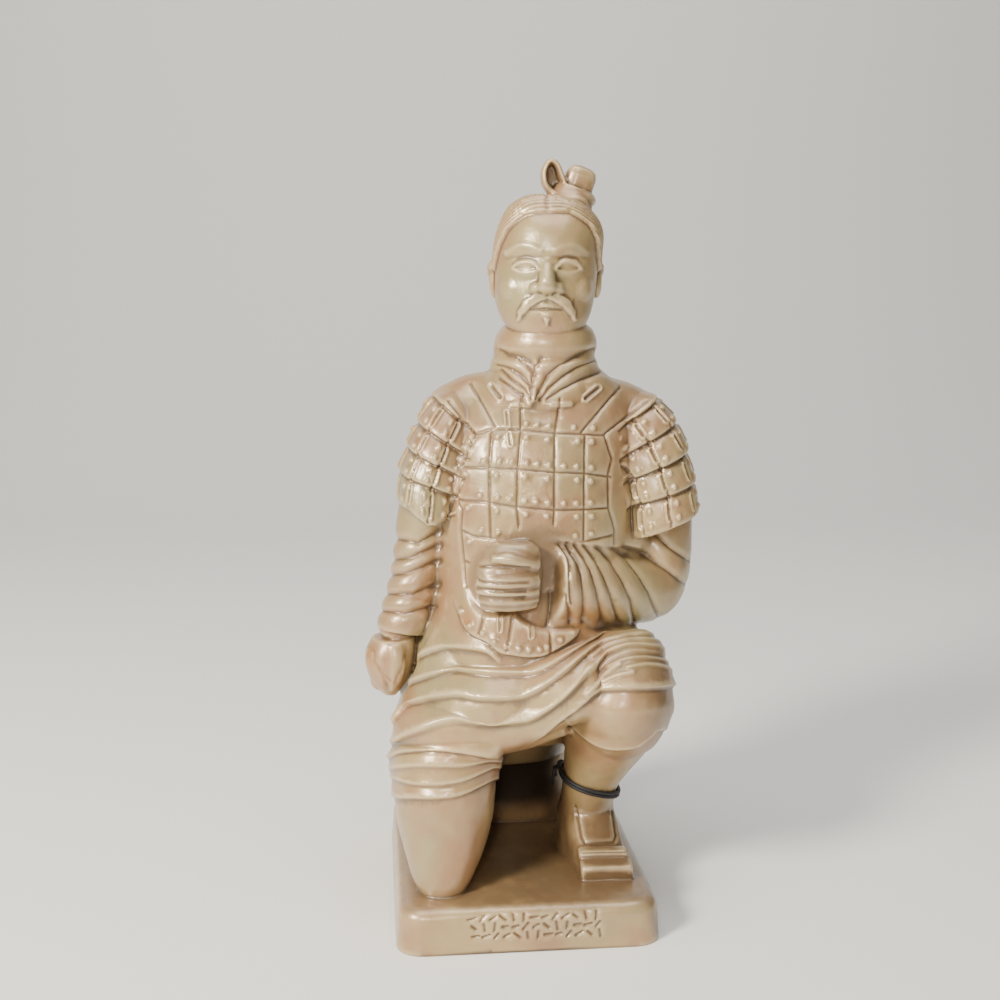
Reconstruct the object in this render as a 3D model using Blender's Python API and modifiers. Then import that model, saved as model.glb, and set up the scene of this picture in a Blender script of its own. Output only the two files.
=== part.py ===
# A kneeling terracotta warrior souvenir, cast in one with its plinth,
# and the elastic cord tied round the ankle of the raised leg.
# The plinth, the cord and the overall height are in metres.
# The figure itself is drawn in millimetres of a figure 300 mm tall and scaled from its height.
# The figure faces minus Y, X runs to the viewer's right and Z is up from the plinth's underside.
import math

import bmesh
import bpy
import numpy as np
from mathutils import Euler, Matrix, Vector
from mathutils.bvhtree import BVHTree

TOTAL_HEIGHT = 0.300
PLINTH_WIDTH = 0.102
PLINTH_DEPTH = 0.126
PLINTH_HEIGHT = 0.017
PLINTH_CORNER_RADIUS = 0.010
PLINTH_TOP_ROUND = 0.0045
PLINTH_DRAFT = 0.0012
CORD_DIAMETER = 0.0015
CORD_GAP = 0.0003
CORD_MIDDLE_HEIGHT = 0.16 * TOTAL_HEIGHT
CORD_TILT = 0.42
ANKLE_RADIUS = 0.04 * TOTAL_HEIGHT
CORD_STEPS = 30
CORD_KNOT_STEP = 12

MASS_VOXEL = 1.15
DETAIL_VOXEL = 1.0
STATUE_TRIANGLES = 8800
PLATE_GROOVE = 1.4

# The figure stands this far left of the plinth's centre line, in figure millimetres.
PLINTH_SHIFT = 1.5

# Front carving is laid out on an upright plane in front of the figure, seen from this point.
VIEWPOINT = (-54.7, -520.7, 244.1)
PLANE_DEPTH = -36.0

UNIT = TOTAL_HEIGHT / 300.0
COLLECTION = "terracotta_warrior_statue"


def clear_scene():
    for item in list(bpy.data.objects):
        bpy.data.objects.remove(item, do_unlink=True)


def part_collection():
    collection = bpy.data.collections.new(COLLECTION)
    bpy.context.scene.collection.children.link(collection)
    return collection


def material(name, colour, roughness):
    made = bpy.data.materials.new(name)
    made.use_nodes = True
    shader = made.node_tree.nodes["Principled BSDF"]
    shader.inputs["Base Color"].default_value = (*colour, 1.0)
    shader.inputs["Roughness"].default_value = roughness
    shader.inputs["Metallic"].default_value = 0.0
    made.diffuse_color = (*colour, 1.0)
    return made


# Building blocks: balls, blocks and skins over rings.


def add_to(bm, local):
    # Each piece is made in a small mesh of its own and added when it is done, which is quick.
    made = bpy.data.meshes.new("piece")
    local.to_mesh(made)
    local.free()
    bm.from_mesh(made)
    bpy.data.meshes.remove(made)


def ball(bm, centre, radii, turn=(0.0, 0.0, 0.0), around=28):
    rotation = Euler([math.radians(a) for a in turn]).to_matrix().to_4x4()
    place = Matrix.Translation(centre) @ rotation @ Matrix.Diagonal((*radii, 1.0))
    local = bmesh.new()
    bmesh.ops.create_uvsphere(local, u_segments=around, v_segments=around // 2, radius=1.0, matrix=place)
    add_to(bm, local)


def block(bm, centre, size, turn=(0.0, 0.0, 0.0), rounding=0.8):
    rotation = Euler([math.radians(a) for a in turn]).to_matrix().to_4x4()
    local = bmesh.new()
    bmesh.ops.create_cube(local, size=1.0, matrix=Matrix.Diagonal((*size, 1.0)))
    bmesh.ops.bevel(
        local, geom=local.edges[:], offset=rounding, segments=2, profile=0.5, affect="EDGES", clamp_overlap=True
    )
    bmesh.ops.transform(local, matrix=Matrix.Translation(centre) @ rotation, verts=local.verts[:])
    add_to(bm, local)


def squared(value, power):
    return math.copysign(abs(value) ** (2.0 / power), value)


def skin(bm, rings, around=40):
    # A round ball is stretched row by row over the rings, its two poles closing the ends.
    rows = len(rings) + 1
    local = bmesh.new()
    bmesh.ops.create_uvsphere(local, u_segments=around, v_segments=rows, radius=1.0)
    for vert in local.verts:
        polar = math.acos(max(-1.0, min(1.0, vert.co.z)))
        row = round(polar / math.pi * rows)
        angle = math.atan2(vert.co.y, vert.co.x)
        if row in (0, rows):
            vert.co = rings[0 if row == 0 else -1][0]
            continue
        centre, side, other, power = rings[row - 1]
        vert.co = centre + side * squared(math.cos(angle), power) + other * squared(math.sin(angle), power)
    add_to(bm, local)


def eased(keys, steps):
    # A smooth curve of rows through the given key rows.
    keys = [np.array(key, dtype=float) for key in keys]
    rows = []
    spans = len(keys) - 1
    for step in range(steps + 1):
        place = min(step / steps * spans, spans - 1e-9)
        index = int(place)
        t = place - index
        p1 = keys[index]
        p2 = keys[index + 1]
        p0 = keys[index - 1] if index > 0 else 2 * p1 - p2
        p3 = keys[index + 2] if index + 2 <= spans else 2 * p2 - p1
        row = 0.5 * (2 * p1 + (p2 - p0) * t + (2 * p0 - 5 * p1 + 4 * p2 - p3) * t * t)
        rows.append(row + 0.5 * (3 * p1 - 3 * p2 + p3 - p0) * t ** 3)
    return rows


def tower(bm, keys, steps=24, power=2.2):
    # Level rings: height, centre across, centre in depth, half width, half depth.
    rings = []
    for height, across, deep, half_wide, half_deep in eased(keys, steps):
        centre = Vector((across, deep, height))
        rings.append((centre, Vector((half_wide, 0, 0)), Vector((0, half_deep, 0)), power))
    skin(bm, rings)


def limb(bm, keys, steps=20, up=(0.0, 0.0, 1.0), power=2.0, around=32):
    # Rings square to a bent path: x, y, z, half size across, half size along the up direction.
    rows = eased(keys, steps)
    rings = []
    for index, row in enumerate(rows):
        before = rows[max(index - 1, 0)]
        after = rows[min(index + 1, steps)]
        ahead = Vector(after[:3] - before[:3]).normalized()
        side = ahead.cross(Vector(up)).normalized()
        other = side.cross(ahead).normalized()
        rings.append((Vector(row[:3]), side * row[3], other * row[4], power))
    skin(bm, rings, around)


def mesh_object(name, mesh, collection=None):
    made = bpy.data.objects.new(name, mesh)
    target = collection or bpy.context.scene.collection
    target.objects.link(made)
    return made


def shaped(bm, steps):
    # Runs the named modifiers over a working mesh and hands back the shaped mesh.
    bmesh.ops.recalc_face_normals(bm, faces=bm.faces[:])
    mesh = bpy.data.meshes.new("work")
    bm.to_mesh(mesh)
    bm.free()
    work = mesh_object("work", mesh)
    for kind, values in steps:
        modifier = work.modifiers.new(kind.lower(), kind)
        for key, value in values.items():
            setattr(modifier, key, value)
    bpy.context.view_layer.update()
    graph = bpy.context.evaluated_depsgraph_get()
    result = bpy.data.meshes.new_from_object(work.evaluated_get(graph))
    bpy.data.objects.remove(work, do_unlink=True)
    bpy.data.meshes.remove(mesh)
    return result


def voxel_step(size):
    return ("REMESH", {"mode": "VOXEL", "voxel_size": size, "adaptivity": 0.0})


def smooth_step(times):
    return ("SMOOTH", {"factor": 0.5, "iterations": times})


# The plinth.


def plinth(bm):
    height = PLINTH_HEIGHT / UNIT
    size = (PLINTH_WIDTH / UNIT, PLINTH_DEPTH / UNIT, height)
    local = bmesh.new()
    lift = Matrix.Translation((PLINTH_SHIFT, 0, height / 2)) @ Matrix.Diagonal((*size, 1.0))
    bmesh.ops.create_cube(local, size=1.0, matrix=lift)
    uprights = [e for e in local.edges if abs(e.verts[0].co.z - e.verts[1].co.z) > height / 2]
    bmesh.ops.bevel(
        local, geom=uprights, offset=PLINTH_CORNER_RADIUS / UNIT, segments=8, profile=0.5, affect="EDGES"
    )
    rim = [e for e in local.edges if min(v.co.z for v in e.verts) > height - 0.01]
    bmesh.ops.bevel(
        local, geom=rim, offset=PLINTH_TOP_ROUND / UNIT, segments=5, profile=0.5, affect="EDGES"
    )
    draft = PLINTH_DRAFT / UNIT
    for vert in local.verts:
        vert.co.x -= math.copysign(draft, vert.co.x - PLINTH_SHIFT) * vert.co.z / height
        vert.co.y -= math.copysign(draft, vert.co.y) * vert.co.z / height
    add_to(bm, local)


# The body under the carving.


def torso(bm):
    tower(bm, [
        (96, 4, -2, 38, 37), (108, 4, -3, 37, 40), (120, 5, -3, 36.5, 39.5), (132, 6.5, -2, 37, 37.5),
        (146, 8.5, -2, 38.5, 35.5), (162, 9.5, -2, 39.5, 34.5), (178, 10, -1, 40, 33), (191, 12, 0, 40, 30.5),
        (201, 13.5, 1, 37, 26.5), (209, 14.5, 1, 31, 23), (216, 14, 0, 23, 20), (222, 14, 0, 17, 15),
    ], steps=44, power=2.3)
    limb(bm, [(-25, 3, 190, 16, 16.5), (-19, 3, 195, 17, 17.5), (-8, 3, 199.5, 18, 16.5), (14, 1, 201, 19, 14),
              (38, 2, 199, 18, 14.5), (54, 0, 191, 15, 15.5)], steps=24)
    ball(bm, (-22.5, 2, 185), (17, 18, 21))
    ball(bm, (50, 0, 183), (18, 19, 20))


def pelvis(bm):
    tower(bm, [
        (63, 2, 8, 28, 22), (70, 2, 6, 34, 27), (78, 3, 4, 37.5, 34), (88, 3, 2, 39, 37), (104, 3, -1, 38.5, 38),
        (120, 3, -2, 36, 37.5), (132, 3, -2, 33, 35),
    ], steps=24, power=2.4)


def kneeling_thigh(bm):
    tower(bm, [
        (48, -29.2, -20, 20.2, 28.5), (56, -28.6, -20, 20.2, 29), (66, -26.8, -18, 21.2, 29.5),
        (76, -24.4, -15, 22.4, 29.5), (86, -21.0, -12, 23.2, 28), (95, -17.5, -9, 23.2, 26.5),
        (106, -15.5, -7, 23.6, 25.5), (116, -12.5, -5, 22.6, 24), (125, -9.5, -4, 20, 21),
    ], steps=24, power=2.3)


def kneeling_leg(bm):
    tower(bm, [
        (13, -31.0, -44, 6, 6), (17, -31.2, -42, 8.8, 9), (20, -31.0, -39.5, 11.2, 12), (25, -30.4, -35, 13.8, 16),
        (30, -29.9, -31.5, 15.8, 19), (38, -29.4, -27.5, 18.4, 22.5), (48, -29.2, -24.5, 20.2, 26),
        (58, -28.4, -22, 20.0, 28),
    ], steps=20, power=2.3)
    limb(bm, [(-29, -26, 30, 15, 13), (-27, -4, 31, 14, 13), (-25, 18, 31, 12.5, 12.5), (-24, 36, 32, 10, 11)])


def rear_foot(bm):
    limb(bm, [(-23.5, 36, 62, 9, 9), (-23.5, 39, 52, 10, 11), (-23.5, 42, 42, 10.5, 10.5),
              (-23.5, 44, 31, 11.5, 9), (-23.5, 45, 22, 12.5, 8.5), (-23.5, 44, 15, 12.5, 9)], steps=18,
         up=(0.0, 1.0, 0.0), power=2.8)
    ball(bm, (-23.5, 38, 20), (12.5, 13, 6.5))


def seat(bm):
    ball(bm, (-6, 20, 76), (31.5, 27, 25))
    ball(bm, (12, 17, 80), (31, 27, 24))
    tower(bm, [(15, 3, 30, 26, 10), (40, 3, 27, 25, 13), (62, 2, 20, 27, 18), (78, 3, 12, 34, 24)], steps=12)


def skirt_back(bm):
    # The robe falls from the belt over the seat and ends just above the heel.
    tower(bm, [
        (50, -5, 23, 30, 22), (58, -5, 22, 33, 24), (72, -1, 18, 35.5, 27), (92, 2, 11, 36.5, 30.5),
        (112, 4, 4, 36, 34.5),
    ], steps=16, power=2.7)


def raised_thigh(bm):
    limb(bm, [(14, 4, 96, 20, 23), (28, -12, 97, 20, 22), (38, -28, 95, 20.5, 21), (43, -40, 92, 18, 18)], steps=20)
    ball(bm, (39.8, -33, 91), (21.0, 24.5, 20.5))
    ball(bm, (40, -35, 82), (18.0, 18, 16))
    ball(bm, (45, -27, 99), (13.0, 19, 16.5))


def lap_cloth(bm):
    ball(bm, (-5, -20, 92), (34, 29.5, 18.5), turn=(0, -14, 0))
    ball(bm, (14, -22, 97), (30, 31, 17), turn=(0, -20, 0))
    limb(bm, [(-40, -14, 78, 12, 6), (-37.0, -16, 78, 19, 8), (-31, -18, 78.5, 25, 9.5), (-20, -20, 79, 27.5, 11),
              (-6, -22, 81, 26.5, 10), (8, -25, 86, 26.5, 10), (21, -28, 93, 26, 10.5), (34, -32, 98, 22, 12)],
         steps=28, power=3.2)
    limb(bm, [(-22, -17, 74, 24, 8.5), (-6, -18, 75.5, 24, 8.5), (8, -20, 79, 24, 8.5), (20, -23, 84, 23, 9)],
         steps=12, power=3.0)


RAISED_LEG = (
    (40, -32, 92, 18.5, 20), (37.5, -28, 78, 18, 17.5), (34.6, -22, 66, 15.2, 15), (32.0, -15, 53, 11.8, 12.8),
    (31.6, -9, 42, 11.0, 12.5), (31, -6, 30, 11.5, 13.5), (31, -5, 16, 13.5, 16),
)


def raised_leg(bm):
    limb(bm, RAISED_LEG, steps=24, up=(0.0, 1.0, 0.0), power=2.2)


def raised_foot(bm):
    limb(bm, [(31, 12, 23, 9.5, 8), (31, 6, 24, 10.5, 10), (31.5, -4, 28, 11, 14), (32.2, -14, 26, 11, 12),
              (33, -24, 22, 10.8, 8.5), (33.8, -32, 19.5, 10.5, 5.5), (34.2, -39, 18.5, 10, 4)],
         steps=20, power=3.0)
    block(bm, (34.3, -34, 19), (20.5, 14, 6), turn=(0, 0, -1))


def hanging_arm(bm):
    limb(bm, [(-26, 0, 190, 15, 16), (-31, 0, 176, 12.5, 15), (-35.0, -1, 160, 11.0, 13),
              (-38, -2, 144, 10.2, 11.5), (-40.6, -4, 130, 10.2, 11.5), (-44.6, -7, 116, 10.3, 10.8)],
         steps=24, up=(0.0, 1.0, 0.0))
    limb(bm, [(-46.0, -7.5, 114, 7, 8), (-48, -8, 109, 8, 9)], steps=4, up=(0.0, 1.0, 0.0))
    limb(bm, [(-26, 2, 176, 12, 10), (-29, 2, 150, 10, 8), (-32, 1, 128, 8, 8), (-35, 4, 112, 7.5, 8),
              (-36, 6, 100, 8, 8), (-36, 6, 92, 8, 8)], steps=16, up=(0.0, 1.0, 0.0))


def bent_arm(bm):
    limb(bm, [(52, 0, 190, 15, 16), (57, 0, 176, 14.5, 15), (60.5, -1, 158, 13.5, 14),
              (61.4, -3, 142, 13.2, 13.8), (57.2, -7, 129.0, 13.4, 13.8), (47.5, -14, 128.0, 13, 13.8),
              (36, -22, 131, 12.5, 14.6), (24, -29, 134, 12.3, 15.2), (11.5, -35, 136, 12, 15)], steps=36)
    ball(bm, (46, -8, 149), (9.5, 11, 12))
    limb(bm, [(44, 0, 178, 14, 12), (46, 0, 156, 13, 11), (46, -2, 136, 12, 10), (44, 0, 118, 10, 12)], steps=12,
         up=(0.0, 1.0, 0.0))


def skull(bm):
    tower(bm, [
        (229, 0, -13, 8, 6), (231, 0, -11.5, 12, 10), (236, -0.3, -7, 17.0, 15.2), (243, -0.5, -3.5, 19.4, 18.8),
        (252, 0, -1.5, 20.3, 21.2), (262, 0.6, -0.5, 20.2, 21.6), (270, 1.5, 0, 19.6, 20.8), (276, 1.3, 1, 17.2, 18.4),
        (280.5, 0.4, 1.5, 13.4, 14.2), (283.4, -1.0, 2, 7, 8),
    ], steps=36, power=2.15)
    tower(bm, [(206, 0, 2, 15, 14), (222, 0, 1, 14, 14), (240, 0, 1, 14, 15)], steps=8)


HEAD_PLACE = (13.8, 0.0)
HEAD_TURN = -6.0


def to_head(points):
    # From the figure's frame to the head's own frame, which looks along minus Y.
    angle = math.radians(HEAD_TURN)
    x = points[:, 0] - HEAD_PLACE[0]
    y = points[:, 1] - HEAD_PLACE[1]
    local = points.copy()
    local[:, 0] = x * math.cos(angle) + y * math.sin(angle)
    local[:, 1] = -x * math.sin(angle) + y * math.cos(angle)
    return local


def place_head(bm, head):
    place = Matrix.Translation((*HEAD_PLACE, 0)) @ Matrix.Rotation(math.radians(HEAD_TURN), 4, "Z")
    bmesh.ops.transform(head, matrix=place, verts=head.verts[:])
    add_to(bm, head)


def body_masses():
    bm = bmesh.new()
    torso(bm)
    pelvis(bm)
    kneeling_thigh(bm)
    kneeling_leg(bm)
    rear_foot(bm)
    seat(bm)
    skirt_back(bm)
    raised_thigh(bm)
    lap_cloth(bm)
    raised_leg(bm)
    raised_foot(bm)
    hanging_arm(bm)
    bent_arm(bm)
    head = bmesh.new()
    skull(head)
    place_head(bm, head)
    return shaped(bm, [voxel_step(MASS_VOXEL), smooth_step(10)])


# Crisp pieces laid over the body.


def scarf(bm):
    tower(bm, [
        (236, 14, -1, 13, 15), (233.5, 14, -1, 17.6, 19), (230, 13.8, -1, 19.8, 21), (226, 13.5, -1, 20.6, 21.6),
        (222.2, 13.2, -1, 20.1, 20.8), (219.5, 13.2, -1, 21.4, 21.8), (215.5, 13, -0.5, 21.8, 22.4),
        (212, 12.6, 0, 23.5, 24), (206, 12, 0, 25.5, 25.5), (200, 11, 0, 24, 25),
    ], steps=40, power=2.1)
    limb(bm, [(4.5, -20.5, 211.5, 4, 2.2), (5.2, -24.5, 207.5, 3.4, 2.2), (6.0, -26.0, 204.8, 2.2, 1.6)], steps=8,
         up=(0, 1, 0), around=16)


def knot(bm):
    limb(bm, [(22, 6, 276, 9, 9), (23.5, 6, 282, 8.4, 8.2), (25.5, 7, 287, 7.2, 7.4)], steps=6, up=(0, 1, 0))
    block(bm, (28.0, 9, 290.4), (12.4, 13, 13.2), turn=(0, 20, 0), rounding=3.8)
    keys = []
    for angle in range(0, 361, 30):
        along = math.cos(math.radians(angle))
        keys.append((25.8 + 6.6 * along, 7.4 + 6.8 * math.sin(math.radians(angle)), 285.8 - 1.5 * along, 1.3, 2.2))
    limb(bm, keys, steps=36, around=12)


def ribbon_loop(bm):
    # A flat bow loop that leans left, hollow in its middle but not open through.
    limb(bm, [(20.8, 5.5, 285.5, 1.3, 4.2), (16.6, 5.2, 286.4, 1.3, 4.2), (13.8, 5, 289.8, 1.2, 4.2),
              (13.4, 5, 294.4, 1.2, 4.0), (15.6, 5, 298.4, 1.2, 3.8), (18.6, 5, 297.2, 1.2, 3.8),
              (20.6, 5.2, 292.6, 1.2, 4.0), (22.4, 5.5, 287.8, 1.3, 4.2)], steps=40, up=(0.0, 1.0, 0.0), around=16)
    limb(bm, [(18.8, 8.0, 286.0, 3.2, 1.6), (17.4, 8.0, 291.0, 3.6, 1.4), (16.7, 7.6, 295.2, 2.8, 1.3),
              (16.8, 7.4, 297.6, 1.8, 1.2)], steps=12, up=(0.0, 1.0, 0.0), around=12)


def ears(head):
    for side in (-1, 1):
        ball(head, (side * 20.0, 2.5, 252), (2.2, 4.4, 7.4), turn=(-8, 0, side * 16))


def nose(head):
    limb(head, [(0, -17.6, 264, 3.4, 2.4), (0, -19.6, 258, 2.9, 3.0), (0, -22.4, 252.5, 3.2, 3.5),
                (0, -23.6, 249.4, 3.6, 4.2)], steps=12, up=(0, 1, 0), around=18)
    ball(head, (0, -23.2, 249.2), (4.0, 3.7, 3.1), around=20)
    for side in (-1, 1):
        ball(head, (side * 4.1, -20.2, 248.6), (2.9, 4.4, 2.8), around=16)
        ball(head, (side * 3.8, -17.8, 254.0), (3.6, 3.8, 6.0), around=16)


def cheeks_and_chin(head):
    for side in (-1, 1):
        ball(head, (side * 10.5, -11.5, 248.5), (7.6, 8.0, 8.5))
    ball(head, (0, -14.8, 235.8), (8.8, 6.8, 6.8))
    ball(head, (0, -14.8, 243.0), (9.5, 6.0, 7.0))


def brow(head):
    limb(head, [(-15.0, -12.4, 261.4, 2.2, 2.4), (-8.6, -17.0, 263.2, 2.5, 2.6), (0, -17.8, 263.0, 2.6, 2.8),
                (8.6, -17.0, 263.2, 2.5, 2.6), (15.0, -12.4, 261.4, 2.2, 2.4)], steps=16, around=12)


def eyes(head):
    for side in (-1, 1):
        ball(head, (side * 8.2, -15.2, 256.5), (5.2, 4.9, 3.6), around=24)


def lips(head):
    limb(head, [(-5.4, -18.9, 241.3, 1.0, 0.8), (-2, -21.1, 242.0, 1.6, 1.4), (0, -21.4, 241.8, 1.6, 1.3),
                (2, -21.1, 242.0, 1.6, 1.4), (5.4, -18.9, 241.3, 1.0, 0.8)], steps=16, around=12)
    limb(head, [(-4.6, -19.0, 239.6, 1.0, 0.8), (0, -21.2, 238.5, 2.0, 1.6), (4.6, -19.0, 239.6, 1.0, 0.8)],
         steps=12, around=12)


FINGER_ROWS = ((139.9, 3.8, 3.8), (135.6, 2.5, 3.5), (132.6, 2.1, 3.1), (130.6, 1.8, 2.4))


def front_fist(bm):
    # A boxy closed hand: the thumb lies on top and four fingers curl across the front.
    tower(bm, [
        (129.8, -4.6, -42.5, 9.4, 5.6), (132, -5.0, -42.5, 11.4, 7.4), (137, -5.6, -42.4, 12.6, 8.2),
        (143, -5.3, -42.2, 12.4, 8.0), (149, -4.2, -42.0, 11.2, 7.4), (152, -3.6, -42.0, 9.8, 6.2),
        (153.8, -3.4, -42.0, 7.0, 4.6),
    ], steps=30, power=2.8)
    for height, half_high, half_deep in FINGER_ROWS:
        limb(bm, [(4.5, -45.6, height + 0.4, half_deep, half_high), (0, -47.6, height + 0.2, half_deep, half_high),
                  (-6, -48.4, height, half_deep, half_high), (-11.5, -47.4, height, half_deep, half_high),
                  (-15.2, -44.0, height, half_deep, half_high)], steps=20, around=16)
    limb(bm, [(5.0, -45.6, 145.8, 3.2, 2.8), (0, -47.8, 147.2, 3.4, 2.8), (-6, -48.4, 148.8, 3.4, 2.8),
              (-11.2, -46.4, 148.6, 3.0, 2.4)], steps=14, around=14)


def hanging_fist(bm):
    # A closed hand that hangs down to a blunt point, the thumb in front and the knuckles outside.
    tower(bm, [
        (86.8, -50.2, -10.5, 2.6, 3.4), (90.5, -50.2, -10.5, 5.8, 6.8), (95, -50.2, -10, 8.6, 9.6),
        (100, -50.2, -9.5, 9.8, 10.8), (105, -49.8, -9, 9.8, 10.8), (110, -48.4, -8.5, 8.6, 9.6),
    ], steps=20, power=2.2)
    limb(bm, [(-57.6, -11, 105.5, 2.4, 3.0), (-57.4, -12.5, 99.5, 2.4, 3.0), (-55.2, -14, 94.5, 2.3, 2.8),
              (-51.8, -14.5, 90.2, 2.0, 2.2)], steps=12, up=(0, 1, 0), around=14)
    limb(bm, [(-48.6, -17.0, 108.5, 3.6, 2.6), (-47.6, -18.8, 102, 3.8, 2.8), (-48.4, -18.2, 95.5, 3.4, 2.6),
              (-50.2, -15.5, 90.5, 2.2, 2.0)], steps=12, up=(0, 1, 0), around=14)
    for deep, low in ((-12.0, 92.5), (-7.6, 93.4), (-3.4, 95.6), (0.4, 98.8)):
        ball(bm, (-53.6, deep, low), (4.6, 2.5, 4.2), around=14)


def cuff(bm):
    limb(bm, [(-41.6, -5, 125, 10.2, 11.5), (-43.4, -6, 119, 10.6, 11.8), (-45.0, -7, 113.8, 10.4, 11.4),
              (-45.4, -7.2, 112.0, 9.6, 10.6)], steps=10, up=(0, 1, 0))


# Each guard's rings: centre, half width, half depth and how steeply the ring slants up to the right.
RIGHT_GUARD = (
    (42.5, 0, 203.5, 7.5, 9, 0.66), (45.8, -0.5, 197.5, 12.6, 17.5, 0.62), (51.6, -0.5, 188.3, 14.6, 21.5, 0.52),
    (56.0, -0.5, 178.3, 14.8, 23, 0.42), (59.0, -0.8, 167.2, 15.0, 23.5, 0.30), (60.4, -1.2, 154.8, 14.6, 23.5, 0.38),
)
RIGHT_TIP = 0.0
LEFT_GUARD = (
    (-17.0, 0, 205.5, 6, 8, -0.8), (-21.5, 0, 198.0, 9.5, 17, -0.8), (-26.5, 0, 188.5, 11.2, 21, -0.62),
    (-30.0, 0, 180.0, 11.8, 22, -0.5), (-32.8, 0, 171.5, 12.0, 22, -0.35), (-34.4, -0.5, 162.5, 11.0, 21.5, -0.15),
)
LEFT_TIP = 6.0
GUARD_FLARE = 1.4


def guard_share(points, keys, tip):
    # How far down a guard each point is, from 0 to 1, and how far across it, from -1 to 1.
    keys = np.array(keys, dtype=float)
    spread = np.linspace(0.0, 1.0, len(keys))
    level = points[:, 2].copy()
    across = np.zeros(len(points))
    for _ in range(10):
        share = np.interp(-level, -keys[:, 2], spread)
        reach = points[:, 0] - np.interp(share, spread, keys[:, 0])
        across = reach / np.interp(share, spread, keys[:, 3])
        level = points[:, 2] - reach * np.interp(share, spread, keys[:, 5]) + guard_drop(across, share, tip)
    return share, across


def guard_drop(across, share, tip):
    # The last row of a guard hangs down to a blunt point.
    return tip * np.clip(1.0 - np.abs(across - 0.1) / 0.85, 0.0, 1.0) * np.clip(5.0 * share - 4.0, 0.0, 1.0)


def shoulder_guard(bm, keys, tip):
    # A stack of stepped rows on slanting rings, each row wider at its lower edge.
    rings = []
    steps = 60
    rows = len(keys) - 1
    for index, (x, y, z, wide, deep, slope) in enumerate(eased(keys, steps)):
        share = index / steps * rows
        step = GUARD_FLARE * (share - math.floor(share)) if index < steps else GUARD_FLARE
        grow = 1.0 + step / max(wide, deep)
        side = Vector((wide * grow, 0, wide * grow * slope))
        rings.append((Vector((x, y, z)), side, Vector((0, deep * grow, 0)), 2.6))
    local = bmesh.new()
    skin(local, rings, 48)
    points = np.array([vert.co[:] for vert in local.verts])
    share, across = guard_share(points, keys, 0.0)
    for vert, drop in zip(local.verts, guard_drop(across, share, tip)):
        vert.co.z -= drop
    add_to(bm, local)


def shoulder_guards(bm):
    shoulder_guard(bm, RIGHT_GUARD, RIGHT_TIP)
    shoulder_guard(bm, LEFT_GUARD, LEFT_TIP)


def shoe(bm):
    block(bm, (32.6, -25.5, 26.5), (15.5, 22, 5), turn=(42, 0, -1), rounding=1.2)
    block(bm, (33.6, -33.5, 24.8), (19.5, 5.5, 4.5), turn=(8, 0, -1), rounding=1.0)
    block(bm, (34.3, -38.2, 20.2), (21, 7.5, 7), turn=(12, 0, -1), rounding=1.4)


def crisp_pieces(bm):
    scarf(bm)
    knot(bm)
    ribbon_loop(bm)
    front_fist(bm)
    hanging_fist(bm)
    cuff(bm)
    shoulder_guards(bm)
    shoe(bm)
    head = bmesh.new()
    ears(head)
    nose(head)
    cheeks_and_chin(head)
    brow(head)
    eyes(head)
    lips(head)
    place_head(bm, head)


def whole_figure():
    body = body_masses()
    bm = bmesh.new()
    crisp_pieces(bm)
    plinth(bm)
    bm.from_mesh(body)
    bpy.data.meshes.remove(body)
    return shaped(bm, [voxel_step(DETAIL_VOXEL), smooth_step(3)])


# Carving: every helper below returns how far each surface point moves outwards, in millimetres.


def ramp(values, start, end):
    # Goes smoothly from 0 at the start to 1 at the end.
    share = np.clip((values - start) / (end - start), 0.0, 1.0)
    return share * share * (3.0 - 2.0 * share)


def drawn(points):
    # Where the line of sight from the viewpoint to each point crosses the drawing plane.
    eye = np.array(VIEWPOINT)
    share = (PLANE_DEPTH - eye[1]) / (points[:, 1] - eye[1])
    return eye[0] + (points[:, 0] - eye[0]) * share, eye[2] + (points[:, 2] - eye[2]) * share


def stroke_distance(u, w, line, reach):
    # Distance to a drawn line, worked out only for the points near it.
    line = np.array(line, dtype=float)
    far = np.full(len(u), 1000.0)
    low = line.min(axis=0) - reach
    high = line.max(axis=0) + reach
    near = np.nonzero((u > low[0]) & (u < high[0]) & (w > low[1]) & (w < high[1]))[0]
    best = np.full(len(near), 1000.0)
    for start, end in zip(line[:-1], line[1:]):
        span = end - start
        share = ((u[near] - start[0]) * span[0] + (w[near] - start[1]) * span[1]) / span.dot(span)
        share = np.clip(share, 0.0, 1.0)
        gap = np.hypot(u[near] - start[0] - share * span[0], w[near] - start[1] - share * span[1])
        best = np.minimum(best, gap)
    far[near] = best
    return far


def groove(u, w, line, depth, width):
    return -depth * np.exp(-(stroke_distance(u, w, line, 4 * width) / width) ** 2)


def crease(u, w, line, depth, width):
    # A sharp valley between two rolls of cloth.
    return -depth * np.exp(-stroke_distance(u, w, line, 5 * width) / width)


def smooth_line(line):
    # The same line with rounded corners.
    return np.array(eased(line, 5 * (len(line) - 1)))


def fold(u, w, line, height, above, below):
    # A sharp crest along a drawn line: cloth sweeps up to it and drops away short below it.
    line = smooth_line(line)
    over = w - np.interp(u, line[:, 0], line[:, 1])
    return height * np.where(over > 0, np.exp(-np.abs(over) / above), np.exp(-(over / below) ** 2))


def lip(u, w, line, height, edge):
    # The cloth above a drawn edge stands proud of what is below it.
    line = smooth_line(line)
    over = w - np.interp(u, line[:, 0], line[:, 1])
    return height * ramp(over, -edge, edge)


def path_distance(points, path):
    best = np.full(len(points), 1000.0)
    path = np.array(path, dtype=float)
    for start, end in zip(path[:-1], path[1:]):
        span = end - start
        share = np.clip((points - start) @ span / span.dot(span), 0.0, 1.0)
        best = np.minimum(best, np.linalg.norm(points - start - share[:, None] * span, axis=1))
    return best


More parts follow.
